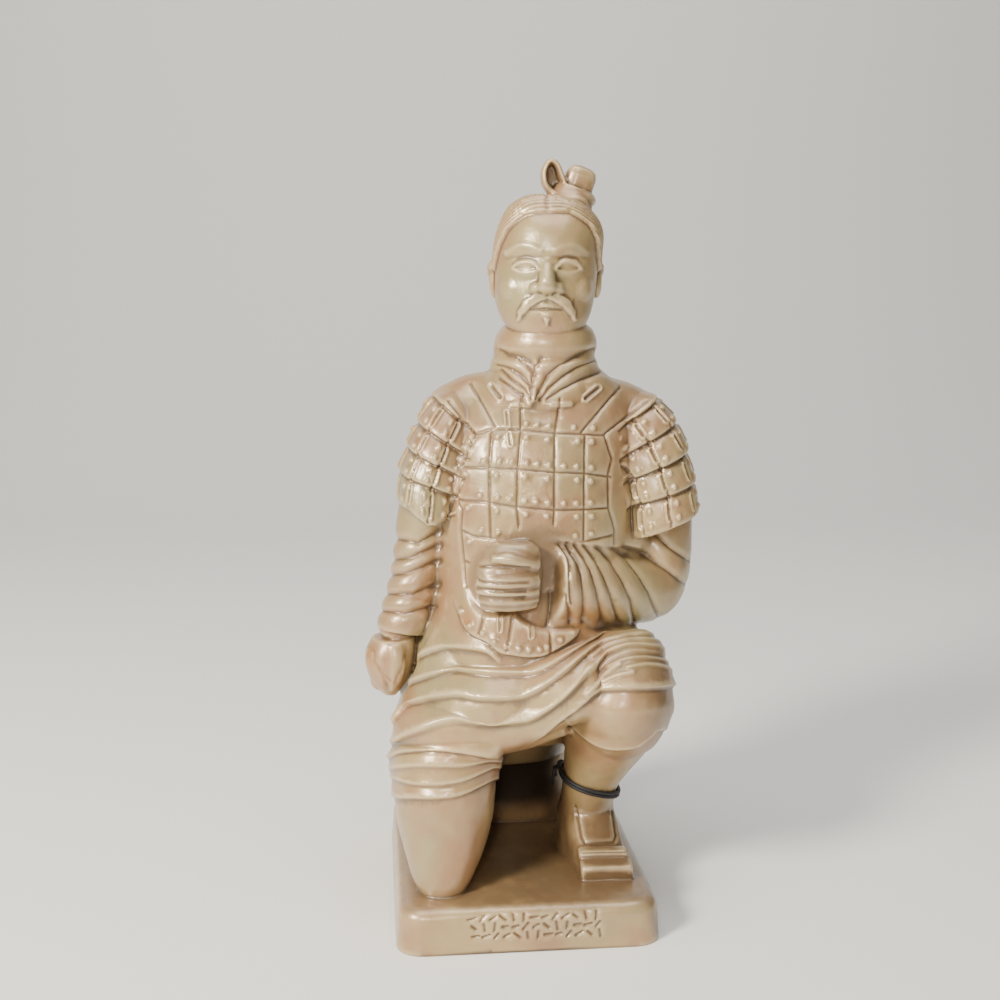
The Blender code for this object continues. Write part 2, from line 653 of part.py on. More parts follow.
PLATE_ROWS = (
    ((-17.5, 194.5), (-11.5, 196.0), (0.0, 196.0), (13.0, 194.5), (22.5, 194.0), (32.0, 193.5)),
    ((-22.5, 182.0), (-11.5, 181.5), (-2.0, 181.0), (13.0, 179.5), (24.5, 179.0), (34.5, 177.5)),
    ((-24.5, 169.5), (-13.5, 168.5), (-2.0, 166.5), (13.0, 165.0), (24.5, 165.0), (34.0, 165.5)),
    ((-23.0, 158.0), (-18.5, 155.5), (-11.5, 154.5), (0.0, 153.0), (13.0, 152.0), (25.0, 152.5), (36.0, 155.0)),
    ((-21.5, 146.0), (-16.5, 144.0), (0.0, 141.0), (13.0, 140.0), (25.0, 141.0), (36.0, 144.0)),
    ((-21.0, 136.0), (-16.5, 134.0), (0.0, 129.5), (13.0, 128.5), (25.0, 130.0), (36.0, 134.0)),
)
PLATE_COLUMNS = (
    ((-17.5, 194.5), (-22.5, 182.0), (-24.5, 169.5), (-22.5, 165.5), (-23.0, 158.0), (-21.0, 136.0)),
    ((-11.0, 196.0), (-12.0, 182.0), (-12.0, 169.0), (-11.5, 154.5), (-11.5, 132.0), (-15.5, 117.0)),
    ((0.0, 209.5), (0.0, 196.0), (-1.0, 182.0), (-1.5, 167.0), (0.0, 153.0), (-2.0, 130.0), (-5.0, 110.5)),
    ((15.0, 207.5), (13.0, 194.5), (13.0, 165.0), (12.5, 152.5), (11.0, 130.0), (11.5, 109.5)),
    ((24.5, 193.5), (24.5, 165.0), (24.5, 153.0), (24.5, 132.0), (25.0, 115.0)),
    ((32.0, 193.5), (35.0, 184.5), (33.5, 178.0), (34.0, 165.5), (36.5, 157.0), (36.0, 134.0)),
)
APRON_EDGE = (
    (-27.0, 136.0), (-25.5, 130.5), (-23.5, 125.0), (-19.5, 118.0), (-12.0, 113.5), (-8.0, 110.0), (-4.0, 109.0),
    (2.0, 108.0), (7.5, 108.0), (11.0, 109.0), (20.0, 114.5), (25.0, 120.0), (34.0, 123.0), (45.0, 126.0),
)
STRAPS = (
    ((-19.0, 213.5), (-10.0, 197.0)), ((-27.0, 207.0), (-17.5, 194.5)),
    ((37.5, 211.5), (23.0, 194.5)), ((48.0, 206.5), (31.5, 193.5)),
)
FOREARM = ((61, -3, 142), (57, -7, 129), (48, -14, 128), (36, -22, 131), (24, -29, 134), (11.5, -35, 136))
FRONT_HAND = ((8, -40, 144), (-5, -44, 142), (-14, -44, 140))
UPPER_ARM = ((52, 0, 190), (60.5, -1, 158), (61, -3, 142))
HANGING_ARM = ((-26, 0, 190), (-35.5, -1, 160), (-38, -2, 144), (-40.6, -4, 130), (-44.6, -7, 116), (-46, -7.5, 112))


def armour_grooves(points, facing, off_arms):
    u, w = drawn(points)
    depth = np.zeros(len(points))
    for line in PLATE_ROWS + PLATE_COLUMNS:
        depth = np.minimum(depth, groove(u, w, line, PLATE_GROOVE, 1.2))
    for line in STRAPS:
        depth = np.minimum(depth, groove(u, w, line, PLATE_GROOVE, 1.2))
    inside = ramp(w, np.interp(u, *np.array(APRON_EDGE).T) - 0.6, np.interp(u, *np.array(APRON_EDGE).T) + 0.6)
    return depth * facing * off_arms * inside * ramp(-np.abs(points[:, 2] - 160.0), -58.0, -50.0)


BACK_ROWS = (196, 182, 168, 154, 140, 127, 115)
BACK_COLUMNS = (-16, -3, 10, 23, 36)


def back_armour(points, behind, off_arms):
    # Plainer plates on the back, in keeping with the front ones.
    x = points[:, 0]
    z = points[:, 2]
    edge = 109.0 + 0.010 * (x - 10.0) ** 2
    depth = np.zeros(len(points))
    for height in BACK_ROWS:
        depth = np.minimum(depth, -PLATE_GROOVE * np.exp(-((z - height) / 1.2) ** 2))
    for across in BACK_COLUMNS:
        depth = np.minimum(depth, -PLATE_GROOVE * np.exp(-((x - across) / 1.2) ** 2))
    depth *= ramp(z, edge - 0.5, edge + 0.5) * ramp(-np.abs(x - 10.0), -34.0, -31.0) * ramp(-z, -203.0, -199.0)
    board = 1.6 * ramp(z, edge - 0.8, edge + 0.8) * ramp(-z, -150.0, -120.0)
    return (depth + board) * behind * off_arms


def apron_step(points, facing, off_arms):
    u, w = drawn(points)
    edge = np.array(APRON_EDGE)
    band = ramp(u, -30.0, -13.0) * ramp(-u, -47.0, -40.0)
    return lip(u, w, edge, 1.8, 0.5) * facing * off_arms * band * ramp(-w, -150.0, -122.0)


ROBE_FOLDS = (
    ((-41.0, 107.0), (-37.0, 110.0), (-32.0, 112.0), (-25.5, 113.0), (-17.5, 112.0), (-12.0, 110.5), (-6.0, 105.0)),
    ((-46.0, 93.5), (-43.5, 96.5), (-39.5, 99.5), (-33.0, 102.0), (-25.5, 103.0), (-12.0, 101.0), (4.0, 100.5),
     (9.5, 102.0), (15.5, 105.0), (21.5, 109.0), (27.0, 113.5), (31.0, 116.0), (37.0, 118.0), (48.5, 119.5)),
    ((-48.0, 83.0), (-46.0, 86.0), (-42.0, 89.5), (-37.0, 91.5), (-31.0, 93.0), (-23.5, 93.5), (-15.5, 92.0),
     (-1.0, 92.0), (6.0, 94.0), (11.5, 97.0), (17.5, 101.0), (23.5, 106.0), (29.0, 110.5), (35.0, 113.0),
     (43.0, 114.5), (51.0, 114.5), (56.0, 112.5), (60.0, 109.0)),
    ((-49.0, 73.5), (-47.0, 76.5), (-42.0, 79.0), (-37.0, 80.5), (-31.5, 82.0), (-23.5, 83.0), (-15.5, 82.0),
     (0.0, 82.5), (6.0, 84.0), (11.0, 87.0), (15.5, 90.5), (21.5, 96.0), (27.5, 101.5), (31.0, 105.5),
     (36.0, 108.5), (43.0, 110.5), (51.0, 110.0), (57.5, 107.5), (61.0, 104.0)),
)
HEM = (
    (-50.5, 67.0), (-47.0, 69.5), (-43.0, 71.0), (-27.5, 71.5), (-10.0, 70.0), (0.0, 72.0), (8.0, 76.0), (13.5, 80.0),
    (19.5, 84.5), (25.5, 89.0), (30.0, 92.5), (35.5, 93.5), (51.0, 93.5), (61.5, 94.5),
)
KNEE_FOLDS = (
    ((26.0, 92.0), (30.0, 96.0), (34.0, 99.5), (39.0, 102.5)), ((33.0, 96.5), (38.0, 98.5), (44.0, 99.5)),
    ((27.5, 106.5), (33.0, 110.4), (41.0, 112.6), (50.0, 112.5), (57.5, 110.0)),
    ((31.5, 102.0), (37.0, 106.0), (44.0, 108.2), (52.0, 107.6), (60.0, 105.0)),
    ((35.0, 102.0), (41.0, 104.8), (48.0, 105.6), (55.0, 104.2), (61.0, 101.4)),
    ((42.0, 101.4), (49.0, 102.6), (56.0, 101.2), (61.5, 98.6)),
)
LOWER_HEMS = (
    (((-51.0, 63.0), (-47.0, 64.5), (-39.0, 65.0), (-23.5, 64.5), (-14.0, 66.5)), 0.7),
    (((-50.5, 61.5), (-45.0, 59.0), (-39.0, 57.5), (-29.5, 57.5), (-21.5, 59.0), (-12.0, 63.5)), 0.7),
    (((-50.5, 54.5), (-48.0, 52.5), (-41.0, 52.0), (-33.5, 51.5), (-25.5, 52.0), (-19.5, 54.0), (-11.0, 58.5)), 1.1),
)
TROUSER_ARC = (
    (15.5, 85.0), (18.5, 81.0), (21.5, 78.5), (25.5, 75.0), (31.5, 71.0), (37.5, 69.5), (45.5, 70.0), (49.5, 72.5),
    (53.5, 76.5),
)


def robe_folds(points, facing, off_arms):
    u, w = drawn(points)
    raised = np.zeros(len(points))
    below_apron = ramp(np.interp(u, *np.array(APRON_EDGE).T) - w, -0.5, 1.5)
    below_apron = np.maximum(below_apron, ramp(np.abs(u - 6.0), 30.0, 34.0) * ramp(-w, -128.0, -120.0))
    for line in ROBE_FOLDS:
        within = ramp(u, line[0][0] - 6.0, line[0][0]) * ramp(-u, -line[-1][0] - 1.0, -line[-1][0] + 5.0)
        raised = np.maximum(raised, fold(u, w, line, 1.9, 4.0, 1.3) * within)
    for line in KNEE_FOLDS:
        raised += 0.8 * np.exp(-(stroke_distance(u, w, smooth_line(line), 5.0) / 0.9) ** 2)
    raised *= ramp(w - np.interp(u, *np.array(HEM).T), 0.0, 3.0)
    return raised * facing * off_arms * below_apron


def robe_hems(points, facing, off_arms):
    u, w = drawn(points)
    raised = lip(u, w, HEM, 1.2, 0.6) * ramp(-w, -118.0, -100.0)
    raised += 0.6 * fold(u, w, HEM, 1.0, 2.2, 0.6)
    on_leg = ramp(-u, 6.0, 10.0)
    for line, height in LOWER_HEMS:
        raised += lip(u, w, line, height, 0.5) * on_leg * ramp(-w, -75.0, -68.0)
        raised += 0.4 * fold(u, w, line, 1.0, 1.8, 0.6) * on_leg
    arc = lip(u, w, TROUSER_ARC, 1.0, 0.6) * ramp(u, 18.0, 22.0) * ramp(-w, -92.0, -84.0)
    arc += 0.6 * np.exp(-stroke_distance(u, w, TROUSER_ARC, 5.0) / 0.9) * ramp(u, 15.0, 19.0)
    return (raised + arc) * facing * off_arms


SLEEVE_FOLDS = (
    ((10.0, 151.0), (11.0, 145.5), (11.5, 130.0), (10.5, 120.0)),
    ((15.0, 151.5), (18.5, 145.5), (19.0, 137.5), (20.0, 128.0)), ((17.0, 131.5), (19.0, 126.5), (19.5, 121.0)),
    ((18.0, 151.5), (22.0, 145.5), (24.0, 139.5), (25.0, 129.5), (24.5, 121.0)),
    ((21.0, 151.5), (25.0, 146.5), (27.5, 141.5), (30.0, 133.5), (32.0, 121.0)),
    ((24.5, 151.5), (29.5, 145.5), (32.5, 139.5), (35.5, 131.5), (38.0, 121.0)),
    ((29.0, 151.5), (35.5, 145.0), (40.0, 137.0), (43.5, 129.0), (44.5, 120.5)),
    ((33.5, 151.5), (40.5, 147.0), (46.5, 139.0), (50.5, 132.0), (54.0, 122.0)),
    ((37.5, 152.0), (48.5, 147.0), (56.0, 141.5), (66.0, 134.0)), ((51.0, 155.5), (58.0, 149.5), (68.0, 143.0)),
)
ARM_FOLDS = (
    ((-48.0, 155.0), (-39.0, 153.0), (-30.0, 157.5)), ((-50.0, 147.0), (-42.0, 147.5), (-31.0, 152.0)),
    ((-52.0, 141.0), (-44.0, 141.5), (-31.0, 146.0)), ((-53.0, 134.0), (-41.0, 133.5), (-31.0, 137.0)),
    ((-55.0, 127.5), (-44.0, 126.0), (-32.0, 128.5)),
)


def sleeve_folds(points, facing, on_forearm, on_hanging_arm):
    u, w = drawn(points)
    depth = np.zeros(len(points))
    for line in SLEEVE_FOLDS:
        depth = np.minimum(depth, crease(u, w, line, 1.6, 1.25) * on_forearm)
    around = np.zeros(len(points))
    for line in ARM_FOLDS:
        reach = stroke_distance(u, w, line, 6.0)
        around = np.minimum(around, -1.6 * np.exp(-reach / 1.5) * on_hanging_arm)
    return depth * facing + around


SCARF_FOLDS = (
    ((7.5, 222.5), (5.0, 219.0), (4.0, 215.0), (3.5, 211.5), (4.0, 207.5)),
    ((6.0, 207.0), (7.5, 211.5), (10.0, 216.0), (14.5, 220.0), (20.5, 223.0), (29.0, 226.5)),
    ((7.5, 207.0), (10.5, 211.5), (15.5, 215.5), (21.5, 219.0), (30.0, 222.5)),
    ((10.0, 207.5), (15.5, 211.0), (22.5, 214.5), (31.0, 218.0)),
    ((-11.5, 227.5), (-5.0, 224.0), (-0.5, 223.0), (3.5, 221.5), (6.0, 219.5)),
    ((-1.0, 222.5), (2.5, 219.5), (5.0, 216.5)),
    ((-11.5, 221.0), (-5.0, 219.0), (-0.5, 216.5), (4.0, 212.5)),
    ((-8.0, 218.5), (-3.5, 214.5), (0.5, 212.0), (3.0, 209.5)),
    ((-8.5, 215.5), (-4.0, 212.0), (-0.5, 209.0)),
)


def scarf_folds(points, facing):
    u, w = drawn(points)
    depth = np.zeros(len(points))
    for line in SCARF_FOLDS:
        depth = np.minimum(depth, crease(u, w, line, 1.5, 1.0))
    return depth * facing


EYE_LIDS = (
    ((3.4, 255.9), (5.6, 258.0), (8.3, 258.7), (11.0, 258.0), (13.0, 256.2)),
    ((3.4, 255.7), (6.0, 254.7), (8.7, 254.4), (11.2, 255.0), (13.0, 256.0)),
)
LID_FOLD = ((3.9, 258.0), (6.0, 260.1), (8.8, 260.8), (11.6, 259.9), (13.6, 258.0))
WHISKERS = ((1.0, 245.2, 1.0), (4.0, 244.8, 1.7), (7.6, 242.6, 1.7), (10.0, 239.4, 1.1), (11.2, 236.4, 0.3))


def face(points, outward):
    head = to_head(points)
    near = ramp(-head[:, 1], 4.0, 9.0) * ramp(points[:, 2], 229.5, 231.0) * ramp(-points[:, 2], -278.0, -276.0)
    near *= ramp(-np.hypot(head[:, 0], head[:, 1]), -34.0, -31.0)
    side = np.abs(head[:, 0])
    height = points[:, 2]
    moves = -1.0 * np.exp(-((side - 8.2) / 6.0) ** 2 - ((height - 260.2) / 1.6) ** 2)
    moves -= 0.4 * np.exp(-((side - 8.2) / 5.0) ** 2 - ((height - 251.8) / 2.4) ** 2)
    upper, lower = (smooth_line(line) for line in EYE_LIDS)
    open_eye = ramp(np.interp(side, upper[:, 0], upper[:, 1]) - height, 0.0, 0.7)
    open_eye *= ramp(height - np.interp(side, lower[:, 0], lower[:, 1]), 0.0, 0.7)
    open_eye *= ramp(side, 3.4, 4.4) * ramp(-side, -13.0, -12.0)
    moves -= 0.55 * open_eye * (0.35 + ((side - 8.3) / 5.0) ** 2)
    moves += 0.50 * np.exp(-(stroke_distance(side, height, upper, 3.0) / 0.85) ** 2)
    moves += 0.22 * np.exp(-(stroke_distance(side, height, lower, 3.0) / 0.75) ** 2)
    moves -= 0.30 * np.exp(-(stroke_distance(side, height, smooth_line(LID_FOLD), 3.0) / 0.55) ** 2)
    moves -= 0.60 * np.exp(-(stroke_distance(side, height, ((0.0, 240.7), (3.0, 240.6), (5.8, 240.4)), 3.0) / 0.5) ** 2)
    brow_line = smooth_line(((2.8, 262.6), (7.0, 264.6), (11.5, 264.6), (15.5, 262.0)))
    moves += 0.45 * np.exp(-(stroke_distance(side, height, brow_line, 5.0) / 1.25) ** 2)
    whiskers = np.zeros(len(points))
    for (x1, z1, wide1), (x2, z2, wide2) in zip(WHISKERS[:-1], WHISKERS[1:]):
        reach = stroke_distance(side, height, ((x1, z1), (x2, z2)), 3.0)
        share = np.clip((side - x1) / (x2 - x1), 0.0, 1.0)
        whiskers = np.maximum(whiskers, ramp(wide1 + (wide2 - wide1) * share - reach, -0.3, 0.3))
    tuft = ramp(1.3 * np.clip((height - 233.6) / 3.6, 0.0, 1.0) - side, -0.2, 0.3) * ramp(-height, -237.6, -237.0)
    return (moves + 0.9 * whiskers + 0.8 * tuft) * near


FINGER_LINES = (
    ((-17.0, 144.0), (-11.0, 143.6), (-4.0, 143.0), (3.5, 142.4)),
    ((-18.5, 140.0), (-13.5, 137.4), (-6.0, 136.8), (3.0, 137.0)),
    ((-18.0, 135.6), (-12.0, 134.4), (-4.0, 133.6), (2.5, 133.6)),
    ((-17.0, 132.2), (-11.0, 131.3), (-4.0, 130.9), (2.0, 131.0)),
)
FIST_LINES = (
    ((-56.8, 112.0), (-56.2, 107.0), (-52.8, 102.0), (-50.2, 99.4)), ((-53.0, 101.5), (-51.0, 96.0)),
    ((-48.5, 98.5), (-45.5, 104.5), (-44.5, 109.5)),
)


def finger_lines(points, facing):
    u, w = drawn(points)
    on_hand = ramp(-path_distance(points, FRONT_HAND), -15.5, -13.5) * ramp(-points[:, 1], 40.0, 43.0)
    depth = np.zeros(len(points))
    for line in FINGER_LINES:
        depth = np.minimum(depth, crease(u, w, smooth_line(line), 1.0, 0.6))
    on_fist = ramp(-np.linalg.norm(points - np.array((-50.5, -12, 99)), axis=1), -17.0, -14.0)
    for line in FIST_LINES:
        depth = np.minimum(depth, crease(u, w, line, 0.6, 1.0) * on_fist)
    return depth * np.maximum(on_hand, on_fist) * facing


def hairline(turn):
    # How high the hair begins, as an angle up from the head's middle, for each angle round the head.
    return np.interp(turn, (0, 30, 50, 65, 78, 95, 110, 130, 180), (52, 50, 38, 18, -4, -2, -26, -46, -50))


def hair(points):
    head = to_head(points)
    turn = np.degrees(np.arctan2(np.abs(head[:, 0]), -head[:, 1]))
    flat = np.hypot(head[:, 0], head[:, 1])
    rise = np.degrees(np.arctan2(head[:, 2] - 257.0, flat))
    over = rise - hairline(turn)
    on_head = ramp(head[:, 2], 237.0, 240.0) * ramp(-head[:, 2], -287.0, -283.0) * ramp(-flat, -30.0, -27.0)
    parting = -0.5 * np.exp(-(head[:, 0] / 0.8) ** 2) * ramp(-head[:, 1], -6.0, 2.0)
    strands = 0.32 * np.cos(2.0 * math.pi * over / 6.0) * ramp(-over, -60.0, -30.0)
    return (1.5 + parting + strands) * ramp(over, -1.5, 1.5) * on_head


def moved(mesh, fields):
    # Adds up the carving fields and moves every point along its own outward direction.
    count = len(mesh.vertices)
    points = np.empty(count * 3)
    mesh.vertices.foreach_get("co", points)
    points = points.reshape(-1, 3)
    outward = np.empty(count * 3)
    mesh.vertex_normals.foreach_get("vector", outward)
    outward = outward.reshape(-1, 3)
    points = points + outward * fields(points, outward)[:, None]
    points[:, 2] = np.where(points[:, 2] < 0.8, 0.0, points[:, 2])
    mesh.vertices.foreach_set("co", points.ravel())
    mesh.update()


def carving(points, outward):
    facing = ramp(-outward[:, 1], 0.05, 0.45)
    round_front = ramp(-outward[:, 1], -0.5, 0.0)
    forearm = path_distance(points, FOREARM)
    hand = path_distance(points, FRONT_HAND)
    upper = path_distance(points, UPPER_ARM)
    hanging = path_distance(points, HANGING_ARM)
    fist = np.linalg.norm(points - np.array((-50.5, -9, 100)), axis=1)
    clear = np.minimum(np.minimum(forearm - 17.5, hand - 15.5), np.minimum(upper - 17.0, hanging - 15.0))
    off_arms = ramp(np.minimum(clear, fist - 14.0), -0.5, 2.0)
    on_forearm = ramp(-np.minimum(forearm, upper), -18.5, -17.0) * ramp(hand, 9.0, 11.0)
    on_hanging = ramp(-hanging, -17.5, -12.0)
    low = ramp(-points[:, 2], -128.0, -122.0)
    behind = ramp(outward[:, 1], 0.05, 0.45)
    moves = armour_grooves(points, facing, off_arms) + back_armour(points, behind, off_arms)
    around = np.degrees(np.arctan2(points[:, 0] - 2.0, points[:, 1] - 10.0))
    pleats = 0.9 * np.cos(np.radians(around) * 13.0 + 0.06 * points[:, 2])
    pleats *= ramp(-np.abs(points[:, 2] - 78.0), -29.0, -16.0) * ramp(points[:, 1], 8.0, 18.0) * off_arms
    moves += pleats * ramp(np.hypot(outward[:, 0], outward[:, 1]), 0.3, 0.7)
    moves += apron_step(points, facing, off_arms)
    moves += robe_folds(points, round_front, off_arms * low)
    moves += robe_hems(points, round_front, off_arms * low * ramp(points[:, 2], 40.0, 46.0))
    moves += sleeve_folds(points, facing, on_forearm, on_hanging)
    moves += scarf_folds(points, facing) * ramp(points[:, 2], 202.0, 206.0) * ramp(-points[:, 2], -232.0, -229.0)
    moves += hair(points)
    moves += face(points, outward)
    moves += finger_lines(points, facing)
    return moves


def keep_weights(made):
    # The head, the front hand and the carved front keep more of their faces when the mesh is thinned.
    group = made.vertex_groups.new(name="thin")
    finest = []
    fine = []
    rest = []
    for vert in made.data.vertices:
        high = vert.co.z > 0.228
        hand = vert.co.y < -0.040 and 0.125 < vert.co.z < 0.158 and vert.co.x < 0.010
        front = vert.co.y < -0.008 and vert.co.z > 0.045
        (finest if high or hand else fine if front else rest).append(vert.index)
    group.add(finest, 0.45, "REPLACE")
    group.add(fine, 0.55, "REPLACE")
    group.add(rest, 1.0, "REPLACE")
    return group.name


def ankle_cord(collection, figure):
    # Two strands round the ankle, held by one small knot at the back with two short tails.
    graph = bpy.context.evaluated_depsgraph_get()
    tree = BVHTree.FromObject(figure, graph)
    pieces = []
    for lift in (-0.5, 0.5):
        offset = lift * (CORD_DIAMETER + CORD_GAP)
        pieces.append(cord_loop(collection, cord_route(tree, offset)))
    route = cord_route(tree, 0.0)
    knot_place = route[CORD_KNOT_STEP]
    axis = ankle_middle()
    away = (knot_place - Vector((axis.x, axis.y, knot_place.z))).normalized()
    knot_place = knot_place + away * CORD_DIAMETER * 0.55
    for spread in (-1, 1):
        reach = away * 2.3 + Vector((0.7 * spread, 1.2 * spread, -5.0 + 0.8 * spread))
        bend = away * 2.1 + Vector((0, 0.7 * spread, -1.7))
        route = [knot_place, knot_place + bend * CORD_DIAMETER, knot_place + reach * CORD_DIAMETER]
        pieces.append(cord_tail(collection, route))
    local = bmesh.new()
    place = Matrix.Translation(knot_place)
    bmesh.ops.create_uvsphere(local, u_segments=14, v_segments=9, radius=CORD_DIAMETER * 1.25, matrix=place)
    mesh = bpy.data.meshes.new("ankle_cord")
    local.to_mesh(mesh)
    local.free()
    made = mesh_object("ankle_cord", mesh, collection)
    joined(made, pieces)
    made.data.materials.append(material("black elastic cord", (0.012, 0.012, 0.014), 0.6))
    for face in made.data.polygons:
        face.use_smooth = True
    return made


def ankle_middle():
    # The middle of the raised leg at the cord's height.
    rows = np.array(eased(RAISED_LEG, 24))
    height = -CORD_MIDDLE_HEIGHT / UNIT
    across = np.interp(height, -rows[:, 2], rows[:, 0]) - PLINTH_SHIFT
    deep = np.interp(height, -rows[:, 2], rows[:, 1])
    return Vector((across * UNIT, deep * UNIT, CORD_MIDDLE_HEIGHT))


def cord_route(tree, offset):
    # The way round the ankle, one point for each step, found by looking outwards from the leg's axis.
    middle = ankle_middle()
    away_points = []
    for step in range(CORD_STEPS):
        angle = 2.0 * math.pi * step / CORD_STEPS
        away = Vector((math.cos(angle), math.sin(angle), 0.0))
        start = middle + Vector((0, 0, offset - CORD_TILT * ANKLE_RADIUS * math.cos(angle)))
        hit = tree.ray_cast(start, away)[0]
        away_points.append((start, away, (hit - start).length))
    reach = [item[2] for item in away_points]
    route = []
    for step, (start, away, _) in enumerate(away_points):
        nearby = [reach[(step + shift) % CORD_STEPS] for shift in (-1, 0, 1)]
        distance = max(reach[step], sum(nearby) / 3.0) + CORD_DIAMETER / 2 + CORD_GAP * 1.6
        place = start + away * distance
        clearance = CORD_DIAMETER / 2 + CORD_GAP
        for _ in range(4):
            nearest = tree.find_nearest(place)[0]
            if (place - nearest).length < clearance:
                place = nearest + (place - nearest).normalized() * clearance
        route.append(place)
    return route


def tube(collection, points, cyclic):
    curve = bpy.data.curves.new("cord", "CURVE")
    curve.dimensions = "3D"
    curve.bevel_depth = CORD_DIAMETER / 2
    curve.bevel_resolution = 1
    curve.use_fill_caps = True
    spline = curve.splines.new("POLY")
    spline.points.add(len(points) - 1)
    for point, place in zip(spline.points, points):
        point.co = (*place, 1.0)
    spline.use_cyclic_u = cyclic
    holder = bpy.data.objects.new("cord curve", curve)
    bpy.context.scene.collection.objects.link(holder)
    bpy.context.view_layer.update()
    graph = bpy.context.evaluated_depsgraph_get()
    mesh = bpy.data.meshes.new_from_object(holder.evaluated_get(graph))
    bpy.data.objects.remove(holder, do_unlink=True)
    local = bmesh.new()
    local.from_mesh(mesh)
    bmesh.ops.remove_doubles(local, verts=local.verts[:], dist=1e-6)
    bmesh.ops.recalc_face_normals(local, faces=local.faces[:])
    local.to_mesh(mesh)
    local.free()
    return mesh_object("strand", mesh)


def cord_loop(collection, route):
    return tube(collection, route, True)


def cord_tail(collection, points):
    return tube(collection, points, False)


def joined(made, pieces):
    # Unites the strands and tails with the knot into one closed body.
    for piece in pieces:
        cut = made.modifiers.new("join", "BOOLEAN")
        cut.operation = "UNION"
        cut.solver = "EXACT"
        cut.object = piece
        bpy.context.view_layer.update()
        graph = bpy.context.evaluated_depsgraph_get()
        mesh = bpy.data.meshes.new_from_object(made.evaluated_get(graph))
        made.modifiers.clear()
        made.data = mesh
        bpy.data.objects.remove(piece, do_unlink=True)


def statue(collection):
    carved = whole_figure()
    moved(carved, carving)
    carved.transform(Matrix.Scale(UNIT, 4) @ Matrix.Translation((-PLINTH_SHIFT, 0, 0)))
    carved.name = "warrior_statue"
    made = mesh_object("warrior_statue", carved, collection)
    faces = sum(len(face.vertices) - 2 for face in carved.polygons)
    thin = made.modifiers.new("fewer faces", "DECIMATE")
    thin.ratio = STATUE_TRIANGLES / faces
    thin.vertex_group = keep_weights(made)
    thin.vertex_group_factor = 0.12
    made.data.materials.append(material("satin terracotta", (0.56, 0.44, 0.31), 0.42))
    for face in made.data.polygons:
        face.use_smooth = True
    return made


def main():
    clear_scene()
    collection = part_collection()
    figure = statue(collection)
    bpy.context.view_layer.update()
    ankle_cord(collection, figure)


main()
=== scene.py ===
# Looks for the kneeling terracotta warrior souvenir: finer carving, glazed clay and cord materials,
# a pale studio and the camera.
# Lengths are in metres, except that the figure is drawn in millimetres of a figure 300 mm tall.
import math

import bmesh
import bpy
import numpy as np
from mathutils import Euler, Matrix, Vector
from mathutils.bvhtree import BVHTree


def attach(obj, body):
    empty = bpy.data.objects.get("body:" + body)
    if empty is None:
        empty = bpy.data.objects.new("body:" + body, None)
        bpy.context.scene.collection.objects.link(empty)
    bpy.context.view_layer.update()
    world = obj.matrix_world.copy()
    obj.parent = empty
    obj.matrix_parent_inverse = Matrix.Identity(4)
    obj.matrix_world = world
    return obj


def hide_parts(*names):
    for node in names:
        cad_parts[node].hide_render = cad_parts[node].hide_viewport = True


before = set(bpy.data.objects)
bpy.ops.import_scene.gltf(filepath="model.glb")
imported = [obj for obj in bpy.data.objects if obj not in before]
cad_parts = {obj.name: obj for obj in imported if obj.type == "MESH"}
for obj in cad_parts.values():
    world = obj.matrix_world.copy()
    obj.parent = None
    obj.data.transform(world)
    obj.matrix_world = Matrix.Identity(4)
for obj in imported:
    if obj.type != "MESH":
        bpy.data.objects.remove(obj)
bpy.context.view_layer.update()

TOTAL_HEIGHT = 0.300
PLINTH_WIDTH = 0.102
PLINTH_DEPTH = 0.126
PLINTH_HEIGHT = 0.017
PLINTH_CORNER_RADIUS = 0.010
PLINTH_TOP_ROUND = 0.0045
PLINTH_DRAFT = 0.0012
CORD_DIAMETER = 0.0015
CORD_GAP = 0.0003
CORD_MIDDLE_HEIGHT = 0.16 * TOTAL_HEIGHT
CORD_TILT = 0.42
ANKLE_RADIUS = 0.04 * TOTAL_HEIGHT
CORD_STEPS = 60
CORD_KNOT_STEP = 24

# Voxel sizes and groove sizes are in figure millimetres, and each smoothing is a number of passes.
MASS_VOXEL = 1.15
MASS_SMOOTHING = 10
DETAIL_VOXEL = 0.5
DETAIL_SMOOTHING = 7
STATUE_TRIANGLES = 192000
PLATE_GROOVE = 0.75
PLATE_GROOVE_WIDTH = 0.55
BACK_GROOVE_WIDTH = 0.6

# The figure stands this far left of the plinth's centre line, in figure millimetres.
PLINTH_SHIFT = 1.5

# Front carving is laid out on an upright plane in front of the figure, seen from this point.
VIEWPOINT = (-54.7, -520.7, 244.1)
PLANE_DEPTH = -36.0

UNIT = TOTAL_HEIGHT / 300.0

# Building blocks: balls, blocks and skins over rings.


def add_to(bm, local):
    # Each piece is made in a small mesh of its own and added when it is done, which is quick.
    made = bpy.data.meshes.new("piece")
    local.to_mesh(made)
    local.free()
    bm.from_mesh(made)
    bpy.data.meshes.remove(made)


def ball(bm, centre, radii, turn=(0.0, 0.0, 0.0), around=28):
    rotation = Euler([math.radians(a) for a in turn]).to_matrix().to_4x4()
    place = Matrix.Translation(centre) @ rotation @ Matrix.Diagonal((*radii, 1.0))
    local = bmesh.new()
    bmesh.ops.create_uvsphere(local, u_segments=around, v_segments=around // 2, radius=1.0, matrix=place)
    add_to(bm, local)


